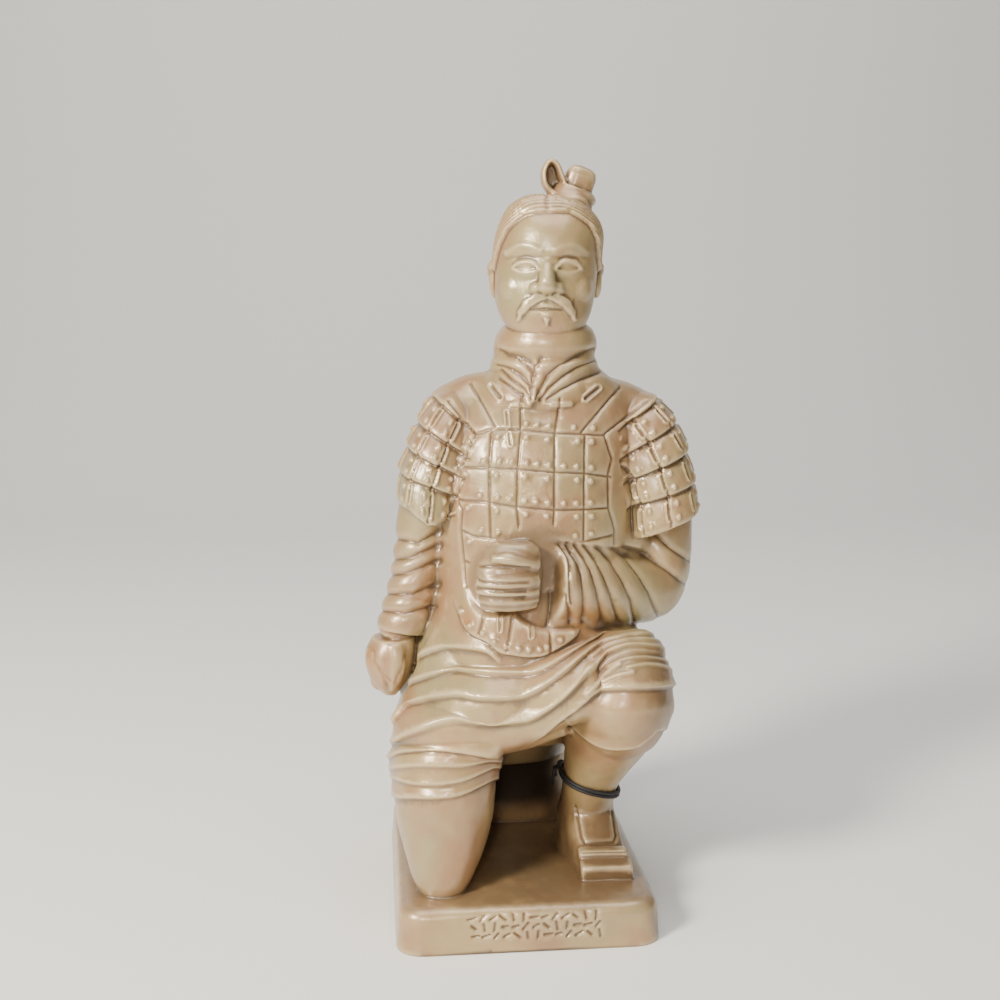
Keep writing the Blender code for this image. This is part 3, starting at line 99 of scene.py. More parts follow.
def block(bm, centre, size, turn=(0.0, 0.0, 0.0), rounding=0.8):
    rotation = Euler([math.radians(a) for a in turn]).to_matrix().to_4x4()
    local = bmesh.new()
    bmesh.ops.create_cube(local, size=1.0, matrix=Matrix.Diagonal((*size, 1.0)))
    bmesh.ops.bevel(
        local, geom=local.edges[:], offset=rounding, segments=2, profile=0.5, affect="EDGES",
        clamp_overlap=True
    )
    bmesh.ops.transform(local, matrix=Matrix.Translation(centre) @ rotation, verts=local.verts[:])
    add_to(bm, local)


def squared(value, power):
    return math.copysign(abs(value) ** (2.0 / power), value)


def skin(bm, rings, around=40):
    # A round ball is stretched row by row over the rings, its two poles closing the ends.
    rows = len(rings) + 1
    local = bmesh.new()
    bmesh.ops.create_uvsphere(local, u_segments=around, v_segments=rows, radius=1.0)
    for vert in local.verts:
        polar = math.acos(max(-1.0, min(1.0, vert.co.z)))
        row = round(polar / math.pi * rows)
        angle = math.atan2(vert.co.y, vert.co.x)
        if row in (0, rows):
            vert.co = rings[0 if row == 0 else -1][0]
            continue
        centre, side, other, power = rings[row - 1]
        vert.co = centre + side * squared(math.cos(angle), power) + other * squared(math.sin(angle), power)
    add_to(bm, local)


def eased(keys, steps):
    # A smooth curve of rows through the given key rows.
    keys = [np.array(key, dtype=float) for key in keys]
    rows = []
    spans = len(keys) - 1
    for step in range(steps + 1):
        place = min(step / steps * spans, spans - 1e-9)
        index = int(place)
        t = place - index
        p1 = keys[index]
        p2 = keys[index + 1]
        p0 = keys[index - 1] if index > 0 else 2 * p1 - p2
        p3 = keys[index + 2] if index + 2 <= spans else 2 * p2 - p1
        row = 0.5 * (2 * p1 + (p2 - p0) * t + (2 * p0 - 5 * p1 + 4 * p2 - p3) * t * t)
        rows.append(row + 0.5 * (3 * p1 - 3 * p2 + p3 - p0) * t ** 3)
    return rows


def tower(bm, keys, steps=24, power=2.2):
    # Level rings: height, centre across, centre in depth, half width, half depth.
    rings = []
    for height, across, deep, half_wide, half_deep in eased(keys, steps):
        centre = Vector((across, deep, height))
        rings.append((centre, Vector((half_wide, 0, 0)), Vector((0, half_deep, 0)), power))
    skin(bm, rings)


def limb(bm, keys, steps=20, up=(0.0, 0.0, 1.0), power=2.0, around=32):
    # Rings square to a bent path: x, y, z, half size across, half size along the up direction.
    rows = eased(keys, steps)
    rings = []
    for index, row in enumerate(rows):
        before = rows[max(index - 1, 0)]
        after = rows[min(index + 1, steps)]
        ahead = Vector(after[:3] - before[:3]).normalized()
        side = ahead.cross(Vector(up)).normalized()
        other = side.cross(ahead).normalized()
        rings.append((Vector(row[:3]), side * row[3], other * row[4], power))
    skin(bm, rings, around)


def mesh_object(name, mesh):
    made = bpy.data.objects.new(name, mesh)
    bpy.context.scene.collection.objects.link(made)
    return made


def evaluated(made):
    # The mesh that an object has after its modifiers.
    bpy.context.view_layer.update()
    graph = bpy.context.evaluated_depsgraph_get()
    return bpy.data.meshes.new_from_object(made.evaluated_get(graph))


def shaped(bm, steps):
    # Runs the named modifiers over a working mesh and hands back the shaped mesh.
    bmesh.ops.recalc_face_normals(bm, faces=bm.faces[:])
    mesh = bpy.data.meshes.new("work")
    bm.to_mesh(mesh)
    bm.free()
    work = mesh_object("work", mesh)
    for kind, values in steps:
        modifier = work.modifiers.new(kind.lower(), kind)
        for key, value in values.items():
            setattr(modifier, key, value)
    result = evaluated(work)
    bpy.data.objects.remove(work, do_unlink=True)
    bpy.data.meshes.remove(mesh)
    return result


def voxel_step(size):
    return ("REMESH", {"mode": "VOXEL", "voxel_size": size, "adaptivity": 0.0})


def smooth_step(times):
    return ("SMOOTH", {"factor": 0.5, "iterations": times})


# The plinth.


def plinth(bm):
    height = PLINTH_HEIGHT / UNIT
    size = (PLINTH_WIDTH / UNIT, PLINTH_DEPTH / UNIT, height)
    local = bmesh.new()
    lift = Matrix.Translation((PLINTH_SHIFT, 0, height / 2)) @ Matrix.Diagonal((*size, 1.0))
    bmesh.ops.create_cube(local, size=1.0, matrix=lift)
    uprights = [e for e in local.edges if abs(e.verts[0].co.z - e.verts[1].co.z) > height / 2]
    bmesh.ops.bevel(
        local, geom=uprights, offset=PLINTH_CORNER_RADIUS / UNIT, segments=8, profile=0.5, affect="EDGES"
    )
    rim = [e for e in local.edges if min(v.co.z for v in e.verts) > height - 0.01]
    bmesh.ops.bevel(
        local, geom=rim, offset=PLINTH_TOP_ROUND / UNIT, segments=5, profile=0.5, affect="EDGES"
    )
    draft = PLINTH_DRAFT / UNIT
    for vert in local.verts:
        vert.co.x -= math.copysign(draft, vert.co.x - PLINTH_SHIFT) * vert.co.z / height
        vert.co.y -= math.copysign(draft, vert.co.y) * vert.co.z / height
    add_to(bm, local)


# The body under the carving.


def torso(bm):
    tower(bm, [
        (96, 4, -2, 38, 37), (108, 4, -3, 37, 40), (120, 5, -3, 36.5, 39.5), (132, 6.5, -2, 37, 37.5),
        (146, 8.5, -2, 38.5, 35.5), (162, 9.5, -2, 39.5, 34.5), (178, 10, -1, 40, 33), (191, 12, 0, 40, 30.5),
        (201, 13.5, 1, 37, 26.5), (209, 14.5, 1, 31, 23), (216, 14, 0, 23, 20), (222, 14, 0, 17, 15),
    ], steps=44, power=2.3)
    limb(bm, [(-25, 3, 190, 16, 16.5), (-19, 3, 195, 17, 17.5), (-8, 3, 199.5, 18, 16.5),
              (14, 1, 201, 19, 14), (38, 2, 199, 18, 14.5), (54, 0, 191, 15, 15.5)], steps=24)
    ball(bm, (-22.5, 2, 185), (17, 18, 21))
    ball(bm, (50, 0, 183), (18, 19, 20))


def pelvis(bm):
    tower(bm, [
        (63, 2, 8, 28, 22), (70, 2, 6, 34, 27), (78, 3, 4, 37.5, 34), (88, 3, 2, 39, 37),
        (104, 3, -1, 38.5, 38), (120, 3, -2, 36, 37.5), (132, 3, -2, 33, 35),
    ], steps=24, power=2.4)


def kneeling_thigh(bm):
    tower(bm, [
        (48, -29.2, -20, 20.2, 28.5), (56, -28.6, -20, 20.2, 29), (66, -26.8, -18, 21.2, 29.5),
        (76, -24.4, -15, 22.4, 29.5), (86, -21, -12, 23.2, 28), (95, -17.5, -9, 23.2, 26.5),
        (106, -15.5, -7, 23.6, 25.5), (116, -12.5, -5, 22.6, 24), (125, -9.5, -4, 20, 21),
    ], steps=24, power=2.3)


def kneeling_leg(bm):
    tower(bm, [
        (13, -31, -44, 6, 6), (17, -31.2, -42, 8.8, 9), (20, -31, -39.5, 11.2, 12),
        (25, -30.4, -35, 13.8, 16), (30, -29.9, -31.5, 15.8, 19), (38, -29.4, -27.5, 18.4, 22.5),
        (48, -29.2, -24.5, 20.2, 26), (58, -28.4, -22, 20, 28),
    ], steps=20, power=2.3)
    limb(bm, [(-29, -26, 30, 15, 13), (-27, -4, 31, 14, 13), (-25, 18, 31, 12.5, 12.5),
              (-24, 36, 32, 10, 11)])


def rear_foot(bm):
    limb(bm, [(-23.5, 36, 62, 9, 9), (-23.5, 39, 52, 10, 11), (-23.5, 42, 42, 10.5, 10.5),
              (-23.5, 44, 31, 11.5, 9), (-23.5, 45, 22, 12.5, 8.5), (-23.5, 44, 15, 12.5, 9)], steps=18,
         up=(0.0, 1.0, 0.0), power=2.8)
    ball(bm, (-23.5, 38, 20), (12.5, 13, 6.5))


def seat(bm):
    ball(bm, (-6, 20, 76), (31.5, 27, 25))
    ball(bm, (12, 17, 80), (31, 27, 24))
    tower(bm, [(15, 3, 30, 26, 10), (40, 3, 27, 25, 13), (62, 2, 20, 27, 18), (78, 3, 12, 34, 24)], steps=12)


def skirt_back(bm):
    # The robe falls from the belt over the seat and ends just above the heel.
    tower(bm, [
        (50, -5, 23, 30, 22), (58, -5, 22, 33, 24), (72, -1, 18, 35.5, 27), (92, 2, 11, 36.5, 30.5),
        (112, 4, 4, 36, 34.5),
    ], steps=16, power=2.7)


def raised_thigh(bm):
    limb(bm, [(14, 4, 96, 20, 23), (28, -12, 97, 20, 22), (38, -28, 95, 20.5, 21), (43, -40, 92, 18, 18)],
         steps=20)
    ball(bm, (39.8, -33, 91), (21, 24.5, 20.5))
    ball(bm, (40, -35, 82), (18, 18, 16))
    ball(bm, (45, -27, 99), (13, 19, 16.5))


def lap_cloth(bm):
    ball(bm, (-5, -20, 92), (34, 29.5, 18.5), turn=(0, -14, 0))
    ball(bm, (14, -22, 97), (30, 31, 17), turn=(0, -20, 0))
    limb(bm, [(-40, -14, 78, 12, 6), (-37, -16, 78, 19, 8), (-31, -18, 78.5, 25, 9.5),
              (-20, -20, 79, 27.5, 11), (-6, -22, 81, 26.5, 10), (8, -25, 86, 26.5, 10),
              (21, -28, 93, 26, 10.5), (34, -32, 98, 22, 12)], steps=28, power=3.2)
    limb(bm, [(-22, -17, 74, 24, 8.5), (-6, -18, 75.5, 24, 8.5), (8, -20, 79, 24, 8.5), (20, -23, 84, 23, 9)],
         steps=12, power=3.0)


RAISED_LEG = (
    (40, -32, 92, 18.5, 20), (37.5, -28, 78, 18, 17.5), (34.6, -22, 66, 15.2, 15), (32, -15, 53, 11.8, 12.8),
    (31.6, -9, 42, 11, 12.5), (31, -6, 30, 11.5, 13.5), (31, -5, 16, 13.5, 16),
)


def raised_leg(bm):
    limb(bm, RAISED_LEG, steps=24, up=(0, 1, 0), power=2.2)


def raised_foot(bm):
    limb(bm, [(31, 12, 23, 9.5, 8), (31, 6, 24, 10.5, 10), (31.5, -4, 28, 11, 14), (32.2, -14, 26, 11, 12),
              (33, -24, 22, 10.8, 8.5), (33.8, -32, 19.5, 10.5, 5.5), (34.2, -39, 18.5, 10, 4)],
         steps=20, power=3.0)
    block(bm, (34.3, -34, 19), (20.5, 14, 6), turn=(0, 0, -1))


def hanging_arm(bm):
    limb(bm, [(-26, 0, 190, 15, 16), (-31, 0, 176, 12.5, 15), (-35, -1, 160, 11, 13),
              (-38, -2, 144, 10.2, 11.5), (-40.6, -4, 130, 10.2, 11.5), (-44.6, -7, 116, 10.3, 10.8)],
         steps=24, up=(0.0, 1.0, 0.0))
    limb(bm, [(-46, -7.5, 114, 7, 8), (-48, -8, 109, 8, 9)], steps=4, up=(0, 1, 0))
    limb(bm, [(-26, 2, 176, 12, 10), (-29, 2, 150, 10, 8), (-32, 1, 128, 8, 8), (-35, 4, 112, 7.5, 8),
              (-36, 6, 100, 8, 8), (-36, 6, 92, 8, 8)], steps=16, up=(0, 1, 0))


def bent_arm(bm):
    limb(bm, [(52, 0, 190, 15, 16), (57, 0, 176, 14.5, 15), (60.5, -1, 158, 13.5, 14),
              (61.4, -3, 142, 13.2, 13.8), (57.2, -7, 129, 13.4, 13.8), (47.5, -14, 128, 13, 13.8),
              (36, -22, 131, 12.5, 14.6), (24, -29, 134, 12.3, 15.2), (11.5, -35, 136, 12, 15)], steps=36)
    ball(bm, (46, -8, 149), (9.5, 11, 12))
    limb(bm, [(44, 0, 178, 14, 12), (46, 0, 156, 13, 11), (46, -2, 136, 12, 10), (44, 0, 118, 10, 12)],
         steps=12, up=(0.0, 1.0, 0.0))


def skull(bm):
    tower(bm, [
        (229, 0, -13, 8, 6), (231, 0, -11.5, 12, 10), (236, -0.3, -7, 17, 15.2),
        (243, -0.5, -3.5, 19.4, 18.8), (252, 0, -1.5, 20.3, 21.2), (262, 0.6, -0.5, 20.2, 21.6),
        (270, 1.5, 0, 19.6, 20.8), (276, 1.3, 1, 17.2, 18.4), (280.5, 0.4, 1.5, 13.4, 14.2),
        (283.4, -1, 2, 7, 8),
    ], steps=36, power=2.15)
    tower(bm, [(206, 0, 2, 15, 14), (222, 0, 1, 14, 14), (240, 0, 1, 14, 15)], steps=8)


HEAD_PLACE = (13.8, 0.0)
HEAD_TURN = -6.0


def to_head(points):
    # From the figure's frame to the head's own frame, which looks along minus Y.
    angle = math.radians(HEAD_TURN)
    x = points[:, 0] - HEAD_PLACE[0]
    y = points[:, 1] - HEAD_PLACE[1]
    local = points.copy()
    local[:, 0] = x * math.cos(angle) + y * math.sin(angle)
    local[:, 1] = -x * math.sin(angle) + y * math.cos(angle)
    return local


def place_head(bm, head):
    place = Matrix.Translation((*HEAD_PLACE, 0)) @ Matrix.Rotation(math.radians(HEAD_TURN), 4, "Z")
    bmesh.ops.transform(head, matrix=place, verts=head.verts[:])
    add_to(bm, head)


def body_masses():
    bm = bmesh.new()
    torso(bm)
    pelvis(bm)
    kneeling_thigh(bm)
    kneeling_leg(bm)
    rear_foot(bm)
    seat(bm)
    skirt_back(bm)
    raised_thigh(bm)
    lap_cloth(bm)
    raised_leg(bm)
    raised_foot(bm)
    hanging_arm(bm)
    bent_arm(bm)
    head = bmesh.new()
    skull(head)
    place_head(bm, head)
    return shaped(bm, [voxel_step(MASS_VOXEL), smooth_step(MASS_SMOOTHING)])


# Crisp pieces laid over the body.


def scarf(bm):
    tower(bm, [
        (236, 14, -1, 13, 15), (233.5, 14, -1, 17.6, 19), (230, 13.8, -1, 19.8, 21),
        (226, 13.5, -1, 20.6, 21.6), (222.2, 13.2, -1, 20.1, 20.8), (219.5, 13.2, -1, 21.4, 21.8),
        (215.5, 13, -0.5, 21.8, 22.4), (212, 12.6, 0, 23.5, 24), (206, 12, 0, 25.5, 25.5),
        (200, 11, 0, 24, 25),
    ], steps=40, power=2.1)
    limb(bm, [(4.5, -20.5, 211.5, 4, 2.2), (5.2, -24.5, 207.5, 3.4, 2.2), (6, -26, 204.8, 2.2, 1.6)], steps=8,
         up=(0, 1, 0), around=16)


def knot(bm):
    limb(bm, [(22, 6, 276, 9, 9), (23.5, 6, 282, 8.4, 8.2), (25.5, 7, 287, 7.2, 7.4)], steps=6, up=(0, 1, 0))
    block(bm, (28, 9, 290.4), (12.4, 13, 13.2), turn=(0, 20, 0), rounding=3.8)
    keys = []
    for angle in range(0, 361, 30):
        along = math.cos(math.radians(angle))
        keys.append((25.8 + 6.6 * along, 7.4 + 6.8 * math.sin(math.radians(angle)), 285.8 - 1.5 * along, 1.3,
                     2.2))
    limb(bm, keys, steps=36, around=12)


def ribbon_loop(bm):
    # A flat bow loop that leans left, hollow in its middle but not open through.
    limb(bm, [(20.8, 5.5, 285.5, 1.3, 4.2), (16.6, 5.2, 286.4, 1.3, 4.2), (13.8, 5, 289.8, 1.2, 4.2),
              (13.4, 5, 294.4, 1.2, 4), (15.6, 5, 298.4, 1.2, 3.8), (18.6, 5, 297.2, 1.2, 3.8),
              (20.6, 5.2, 292.6, 1.2, 4), (22.4, 5.5, 287.8, 1.3, 4.2)], steps=40, up=(0, 1, 0), around=16)
    limb(bm, [(18.8, 8, 286, 3.2, 1.6), (17.4, 8, 291, 3.6, 1.4), (16.7, 7.6, 295.2, 2.8, 1.3),
              (16.8, 7.4, 297.6, 1.8, 1.2)], steps=12, up=(0, 1, 0), around=12)


def ears(head):
    for side in (-1, 1):
        ball(head, (side * 20, 2.5, 252), (2.2, 4.4, 7.4), turn=(-8, 0, side * 16))


def nose(head):
    limb(head, [(0, -17.6, 264, 3.4, 2.4), (0, -19.6, 258, 2.9, 3), (0, -22.4, 252.5, 3.2, 3.5),
                (0, -23.6, 249.4, 3.6, 4.2)], steps=12, up=(0, 1, 0), around=18)
    ball(head, (0, -23.2, 249.2), (4, 3.7, 3.1), around=20)
    for side in (-1, 1):
        ball(head, (side * 4.1, -20.2, 248.6), (2.9, 4.4, 2.8), around=16)
        ball(head, (side * 3.8, -17.8, 254), (3.6, 3.8, 6), around=16)


def cheeks_and_chin(head):
    for side in (-1, 1):
        ball(head, (side * 10.5, -11.5, 248.5), (7.6, 8, 8.5))
    ball(head, (0, -14.8, 235.8), (8.8, 6.8, 6.8))
    ball(head, (0, -14.8, 243), (9.5, 6, 7))


def brow(head):
    limb(head, [(-15, -12.4, 261.4, 2.2, 2.4), (-8.6, -17, 263.2, 2.5, 2.6), (0, -17.8, 263, 2.6, 2.8),
                (8.6, -17, 263.2, 2.5, 2.6), (15, -12.4, 261.4, 2.2, 2.4)], steps=16, around=12)


def eyes(head):
    for side in (-1, 1):
        ball(head, (side * 8.2, -15.2, 256.5), (5.2, 4.9, 3.6), around=24)


def lips(head):
    limb(head, [(-5.4, -18.9, 241.3, 1, 0.8), (-2, -21.1, 242, 1.6, 1.4), (0, -21.4, 241.8, 1.6, 1.3),
                (2, -21.1, 242, 1.6, 1.4), (5.4, -18.9, 241.3, 1, 0.8)], steps=16, around=12)
    limb(head, [(-4.6, -19, 239.6, 1, 0.8), (0, -21.2, 238.5, 2, 1.6), (4.6, -19, 239.6, 1, 0.8)],
         steps=12, around=12)


FINGER_ROWS = ((139.9, 3.8, 3.8), (135.6, 2.5, 3.5), (132.6, 2.1, 3.1), (130.6, 1.8, 2.4))


def front_fist(bm):
    # A boxy closed hand: the thumb lies on top and four fingers curl across the front.
    tower(bm, [
        (129.8, -4.6, -42.5, 9.4, 5.6), (132, -5, -42.5, 11.4, 7.4), (137, -5.6, -42.4, 12.6, 8.2),
        (143, -5.3, -42.2, 12.4, 8), (149, -4.2, -42, 11.2, 7.4), (152, -3.6, -42, 9.8, 6.2),
        (153.8, -3.4, -42, 7, 4.6),
    ], steps=30, power=2.8)
    for height, half_high, half_deep in FINGER_ROWS:
        limb(bm, [(4.5, -45.6, height + 0.4, half_deep, half_high),
                  (0, -47.6, height + 0.2, half_deep, half_high), (-6, -48.4, height, half_deep, half_high),
                  (-11.5, -47.4, height, half_deep, half_high), (-15.2, -44, height, half_deep, half_high)],
             steps=20, around=16)
    limb(bm, [(5, -45.6, 145.8, 3.2, 2.8), (0, -47.8, 147.2, 3.4, 2.8), (-6, -48.4, 148.8, 3.4, 2.8),
              (-11.2, -46.4, 148.6, 3, 2.4)], steps=14, around=14)


def hanging_fist(bm):
    # A closed hand that hangs down to a blunt point, the thumb in front and the knuckles outside.
    tower(bm, [
        (86.8, -50.2, -10.5, 2.6, 3.4), (90.5, -50.2, -10.5, 5.8, 6.8), (95, -50.2, -10, 8.6, 9.6),
        (100, -50.2, -9.5, 9.8, 10.8), (105, -49.8, -9, 9.8, 10.8), (110, -48.4, -8.5, 8.6, 9.6),
    ], steps=20, power=2.2)
    limb(bm, [(-57.6, -11, 105.5, 2.4, 3), (-57.4, -12.5, 99.5, 2.4, 3), (-55.2, -14, 94.5, 2.3, 2.8),
              (-51.8, -14.5, 90.2, 2, 2.2)], steps=12, up=(0, 1, 0), around=14)
    limb(bm, [(-48.6, -17, 108.5, 3.6, 2.6), (-47.6, -18.8, 102, 3.8, 2.8), (-48.4, -18.2, 95.5, 3.4, 2.6),
              (-50.2, -15.5, 90.5, 2.2, 2)], steps=12, up=(0, 1, 0), around=14)
    for deep, low in ((-12.0, 92.5), (-7.6, 93.4), (-3.4, 95.6), (0.4, 98.8)):
        ball(bm, (-53.6, deep, low), (4.6, 2.5, 4.2), around=14)


def cuff(bm):
    limb(bm, [(-41.6, -5, 125, 10.2, 11.5), (-43.4, -6, 119, 10.6, 11.8), (-45, -7, 113.8, 10.4, 11.4),
              (-45.4, -7.2, 112, 9.6, 10.6)], steps=10, up=(0, 1, 0))


# Each guard's rings: centre, half width, half depth and how steeply the ring slants up to the right.
RIGHT_GUARD = (
    (42.5, 0, 203.5, 7.5, 9, 0.66), (45.8, -0.5, 197.5, 12.6, 17.5, 0.62),
    (51.6, -0.5, 188.3, 14.6, 21.5, 0.52), (56, -0.5, 178.3, 14.8, 23, 0.42),
    (59, -0.8, 167.2, 15, 23.5, 0.30), (60.4, -1.2, 154.8, 14.6, 23.5, 0.38),
)
RIGHT_TIP = 0.0
LEFT_GUARD = (
    (-17, 0, 205.5, 6, 8, -0.8), (-21.5, 0, 198, 9.5, 17, -0.8), (-26.5, 0, 188.5, 11.2, 21, -0.62),
    (-30, 0, 180, 11.8, 22, -0.5), (-32.8, 0, 171.5, 12, 22, -0.35), (-34.4, -0.5, 162.5, 11, 21.5, -0.15),
)
LEFT_TIP = 6.0
GUARD_FLARE = 1.4


def guard_share(points, keys, tip):
    # How far down a guard each point is, from 0 to 1, and how far across it, from -1 to 1.
    keys = np.array(keys, dtype=float)
    spread = np.linspace(0.0, 1.0, len(keys))
    level = points[:, 2].copy()
    across = np.zeros(len(points))
    for _ in range(10):
        share = np.interp(-level, -keys[:, 2], spread)
        reach = points[:, 0] - np.interp(share, spread, keys[:, 0])
        across = reach / np.interp(share, spread, keys[:, 3])
        level = points[:, 2] - reach * np.interp(share, spread, keys[:, 5]) + guard_drop(across, share, tip)
    return share, across


def guard_drop(across, share, tip):
    # The last row of a guard hangs down to a blunt point.
    return tip * np.clip(1.0 - np.abs(across - 0.1) / 0.85, 0.0, 1.0) * np.clip(5.0 * share - 4.0, 0.0, 1.0)


def shoulder_guard(bm, keys, tip):
    # A stack of stepped rows on slanting rings, each row wider at its lower edge.
    rings = []
    steps = 60
    rows = len(keys) - 1
    for index, (x, y, z, wide, deep, slope) in enumerate(eased(keys, steps)):
        share = index / steps * rows
        step = GUARD_FLARE * (share - math.floor(share)) if index < steps else GUARD_FLARE
        grow = 1.0 + step / max(wide, deep)
        side = Vector((wide * grow, 0, wide * grow * slope))
        rings.append((Vector((x, y, z)), side, Vector((0, deep * grow, 0)), 2.6))
    local = bmesh.new()
    skin(local, rings, 48)
    points = np.array([vert.co[:] for vert in local.verts])
    share, across = guard_share(points, keys, 0.0)
    for vert, drop in zip(local.verts, guard_drop(across, share, tip)):
        vert.co.z -= drop
    add_to(bm, local)


def shoulder_guards(bm):
    shoulder_guard(bm, RIGHT_GUARD, RIGHT_TIP)
    shoulder_guard(bm, LEFT_GUARD, LEFT_TIP)


def shoe(bm):
    block(bm, (32.6, -25.5, 26.5), (15.5, 22, 5), turn=(42, 0, -1), rounding=1.2)
    block(bm, (33.6, -33.5, 24.8), (19.5, 5.5, 4.5), turn=(8, 0, -1), rounding=1)
    block(bm, (34.3, -38.2, 20.2), (21, 7.5, 7), turn=(12, 0, -1), rounding=1.4)


def crisp_pieces(bm):
    scarf(bm)
    knot(bm)
    ribbon_loop(bm)
    front_fist(bm)
    hanging_fist(bm)
    cuff(bm)
    shoulder_guards(bm)
    shoe(bm)
    head = bmesh.new()
    ears(head)
    nose(head)
    cheeks_and_chin(head)
    brow(head)
    eyes(head)
    lips(head)
    place_head(bm, head)


def whole_figure():
    body = body_masses()
    bm = bmesh.new()
    crisp_pieces(bm)
    plinth(bm)
    bm.from_mesh(body)
    bpy.data.meshes.remove(body)
    return shaped(bm, [voxel_step(DETAIL_VOXEL), smooth_step(DETAIL_SMOOTHING)])


# Carving: every helper below returns how far each surface point moves outwards, in millimetres.


def ramp(values, start, end):
    # Goes smoothly from 0 at the start to 1 at the end.
    share = np.clip((values - start) / (end - start), 0.0, 1.0)
    return share * share * (3.0 - 2.0 * share)


def between(values, low, full, last, high):
    # Rises from 0 at low to 1 at full, and falls from 1 at last to 0 at high.
    return ramp(values, low, full) * ramp(-values, -high, -last)


def drawn(points):
    # Where the line of sight from the viewpoint to each point crosses the drawing plane.
    eye = np.array(VIEWPOINT)
    share = (PLANE_DEPTH - eye[1]) / (points[:, 1] - eye[1])
    return eye[0] + (points[:, 0] - eye[0]) * share, eye[2] + (points[:, 2] - eye[2]) * share


def stroke_distance(u, w, line, reach):
    # Distance to a drawn line, worked out only for the points near it.
    line = np.array(line, dtype=float)
    far = np.full(len(u), 1000.0)
    low = line.min(axis=0) - reach
    high = line.max(axis=0) + reach
    near = np.nonzero((u > low[0]) & (u < high[0]) & (w > low[1]) & (w < high[1]))[0]
    best = np.full(len(near), 1000.0)
    for start, end in zip(line[:-1], line[1:]):
        span = end - start
        share = ((u[near] - start[0]) * span[0] + (w[near] - start[1]) * span[1]) / span.dot(span)
        share = np.clip(share, 0.0, 1.0)
        gap = np.hypot(u[near] - start[0] - share * span[0], w[near] - start[1] - share * span[1])
        best = np.minimum(best, gap)
    far[near] = best
    return far


def groove(u, w, line, depth, width):
    return -depth * np.exp(-(stroke_distance(u, w, line, 4 * width) / width) ** 2)


def crease(u, w, line, depth, width):
    # A sharp valley between two rolls of cloth.
    return -depth * np.exp(-stroke_distance(u, w, line, 5 * width) / width)


def smooth_line(line):
    # The same line with rounded corners.
    return np.array(eased(line, 5 * (len(line) - 1)))


def fold(u, w, line, height, above, below):
    # A sharp crest along a drawn line: cloth sweeps up to it and drops away short below it.
    line = smooth_line(line)
    over = w - np.interp(u, line[:, 0], line[:, 1])
    return height * np.where(over > 0, np.exp(-np.abs(over) / above), np.exp(-(over / below) ** 2))


def lip(u, w, line, height, edge):
    # The cloth above a drawn edge stands proud of what is below it.
    line = smooth_line(line)
    over = w - np.interp(u, line[:, 0], line[:, 1])
    return height * ramp(over, -edge, edge)


def path_distance(points, path):
    best = np.full(len(points), 1000.0)
    path = np.array(path, dtype=float)
    for start, end in zip(path[:-1], path[1:]):
        span = end - start
        share = np.clip((points - start) @ span / span.dot(span), 0.0, 1.0)
        best = np.minimum(best, np.linalg.norm(points - start - share[:, None] * span, axis=1))
    return best


PLATE_ROWS = (
    ((-17.5, 194.5), (-11.5, 196), (0, 196), (13, 194.5), (22.5, 194), (32, 193.5)),
    ((-22.5, 182), (-11.5, 181.5), (-2, 181), (13, 179.5), (24.5, 179), (34.5, 177.5)),
    ((-24.5, 169.5), (-13.5, 168.5), (-2, 166.5), (13, 165), (24.5, 165), (34, 165.5)),
    ((-23, 158), (-18.5, 155.5), (-11.5, 154.5), (0, 153), (13, 152), (25, 152.5), (36, 155)),
    ((-21.5, 146), (-16.5, 144), (0, 141), (13, 140), (25, 141), (36, 144)),
    ((-21, 136), (-16.5, 134), (0, 129.5), (13, 128.5), (25, 130), (36, 134)),
)
PLATE_COLUMNS = (
    ((-17.5, 194.5), (-22.5, 182), (-24.5, 169.5), (-22.5, 165.5), (-23, 158), (-21, 136)),
    ((-11, 196), (-12, 182), (-12, 169), (-11.5, 154.5), (-11.5, 132), (-15.5, 117)),
    ((0, 209.5), (0, 196), (-1, 182), (-1.5, 167), (0, 153), (-2, 130), (-5, 110.5)),
    ((15, 207.5), (13, 194.5), (13, 165), (12.5, 152.5), (11, 130), (11.5, 109.5)),
    ((24.5, 193.5), (24.5, 165), (24.5, 153), (24.5, 132), (25, 115)),
    ((32, 193.5), (35, 184.5), (33.5, 178), (34, 165.5), (36.5, 157), (36, 134)),
)
APRON_EDGE = (
    (-27, 136), (-25.5, 130.5), (-23.5, 125), (-19.5, 118), (-12, 113.5), (-8, 110), (-4, 109),
    (2, 108), (7.5, 108), (11, 109), (20, 114.5), (25, 120), (34, 123), (45, 126),
)
STRAPS = (
    ((-19, 213.5), (-10, 197)), ((-27, 207), (-17.5, 194.5)),
    ((37.5, 211.5), (23, 194.5)), ((48, 206.5), (31.5, 193.5)),
)
FOREARM = ((61, -3, 142), (57, -7, 129), (48, -14, 128), (36, -22, 131), (24, -29, 134), (11.5, -35, 136))
FRONT_HAND = ((8, -40, 144), (-5, -44, 142), (-14, -44, 140))
UPPER_ARM = ((52, 0, 190), (60.5, -1, 158), (61, -3, 142))
HANGING_ARM = ((-26, 0, 190), (-35.5, -1, 160), (-38, -2, 144), (-40.6, -4, 130), (-44.6, -7, 116),
               (-46, -7.5, 112))


def armour_grooves(points, facing, off_arms):
    u, w = drawn(points)
    depth = np.zeros(len(points))
    for line in PLATE_ROWS + PLATE_COLUMNS + STRAPS:
        depth = np.minimum(depth, groove(u, w, line, PLATE_GROOVE, PLATE_GROOVE_WIDTH))
    edge = np.interp(u, *np.array(APRON_EDGE).T)
    inside = ramp(w, edge - 0.6, edge + 0.6)
    return depth * facing * off_arms * inside * ramp(-np.abs(points[:, 2] - 160.0), -58.0, -50.0)


BACK_ROWS = (196, 182, 168, 154, 140, 127, 115)
BACK_COLUMNS = (-16, -3, 10, 23, 36)


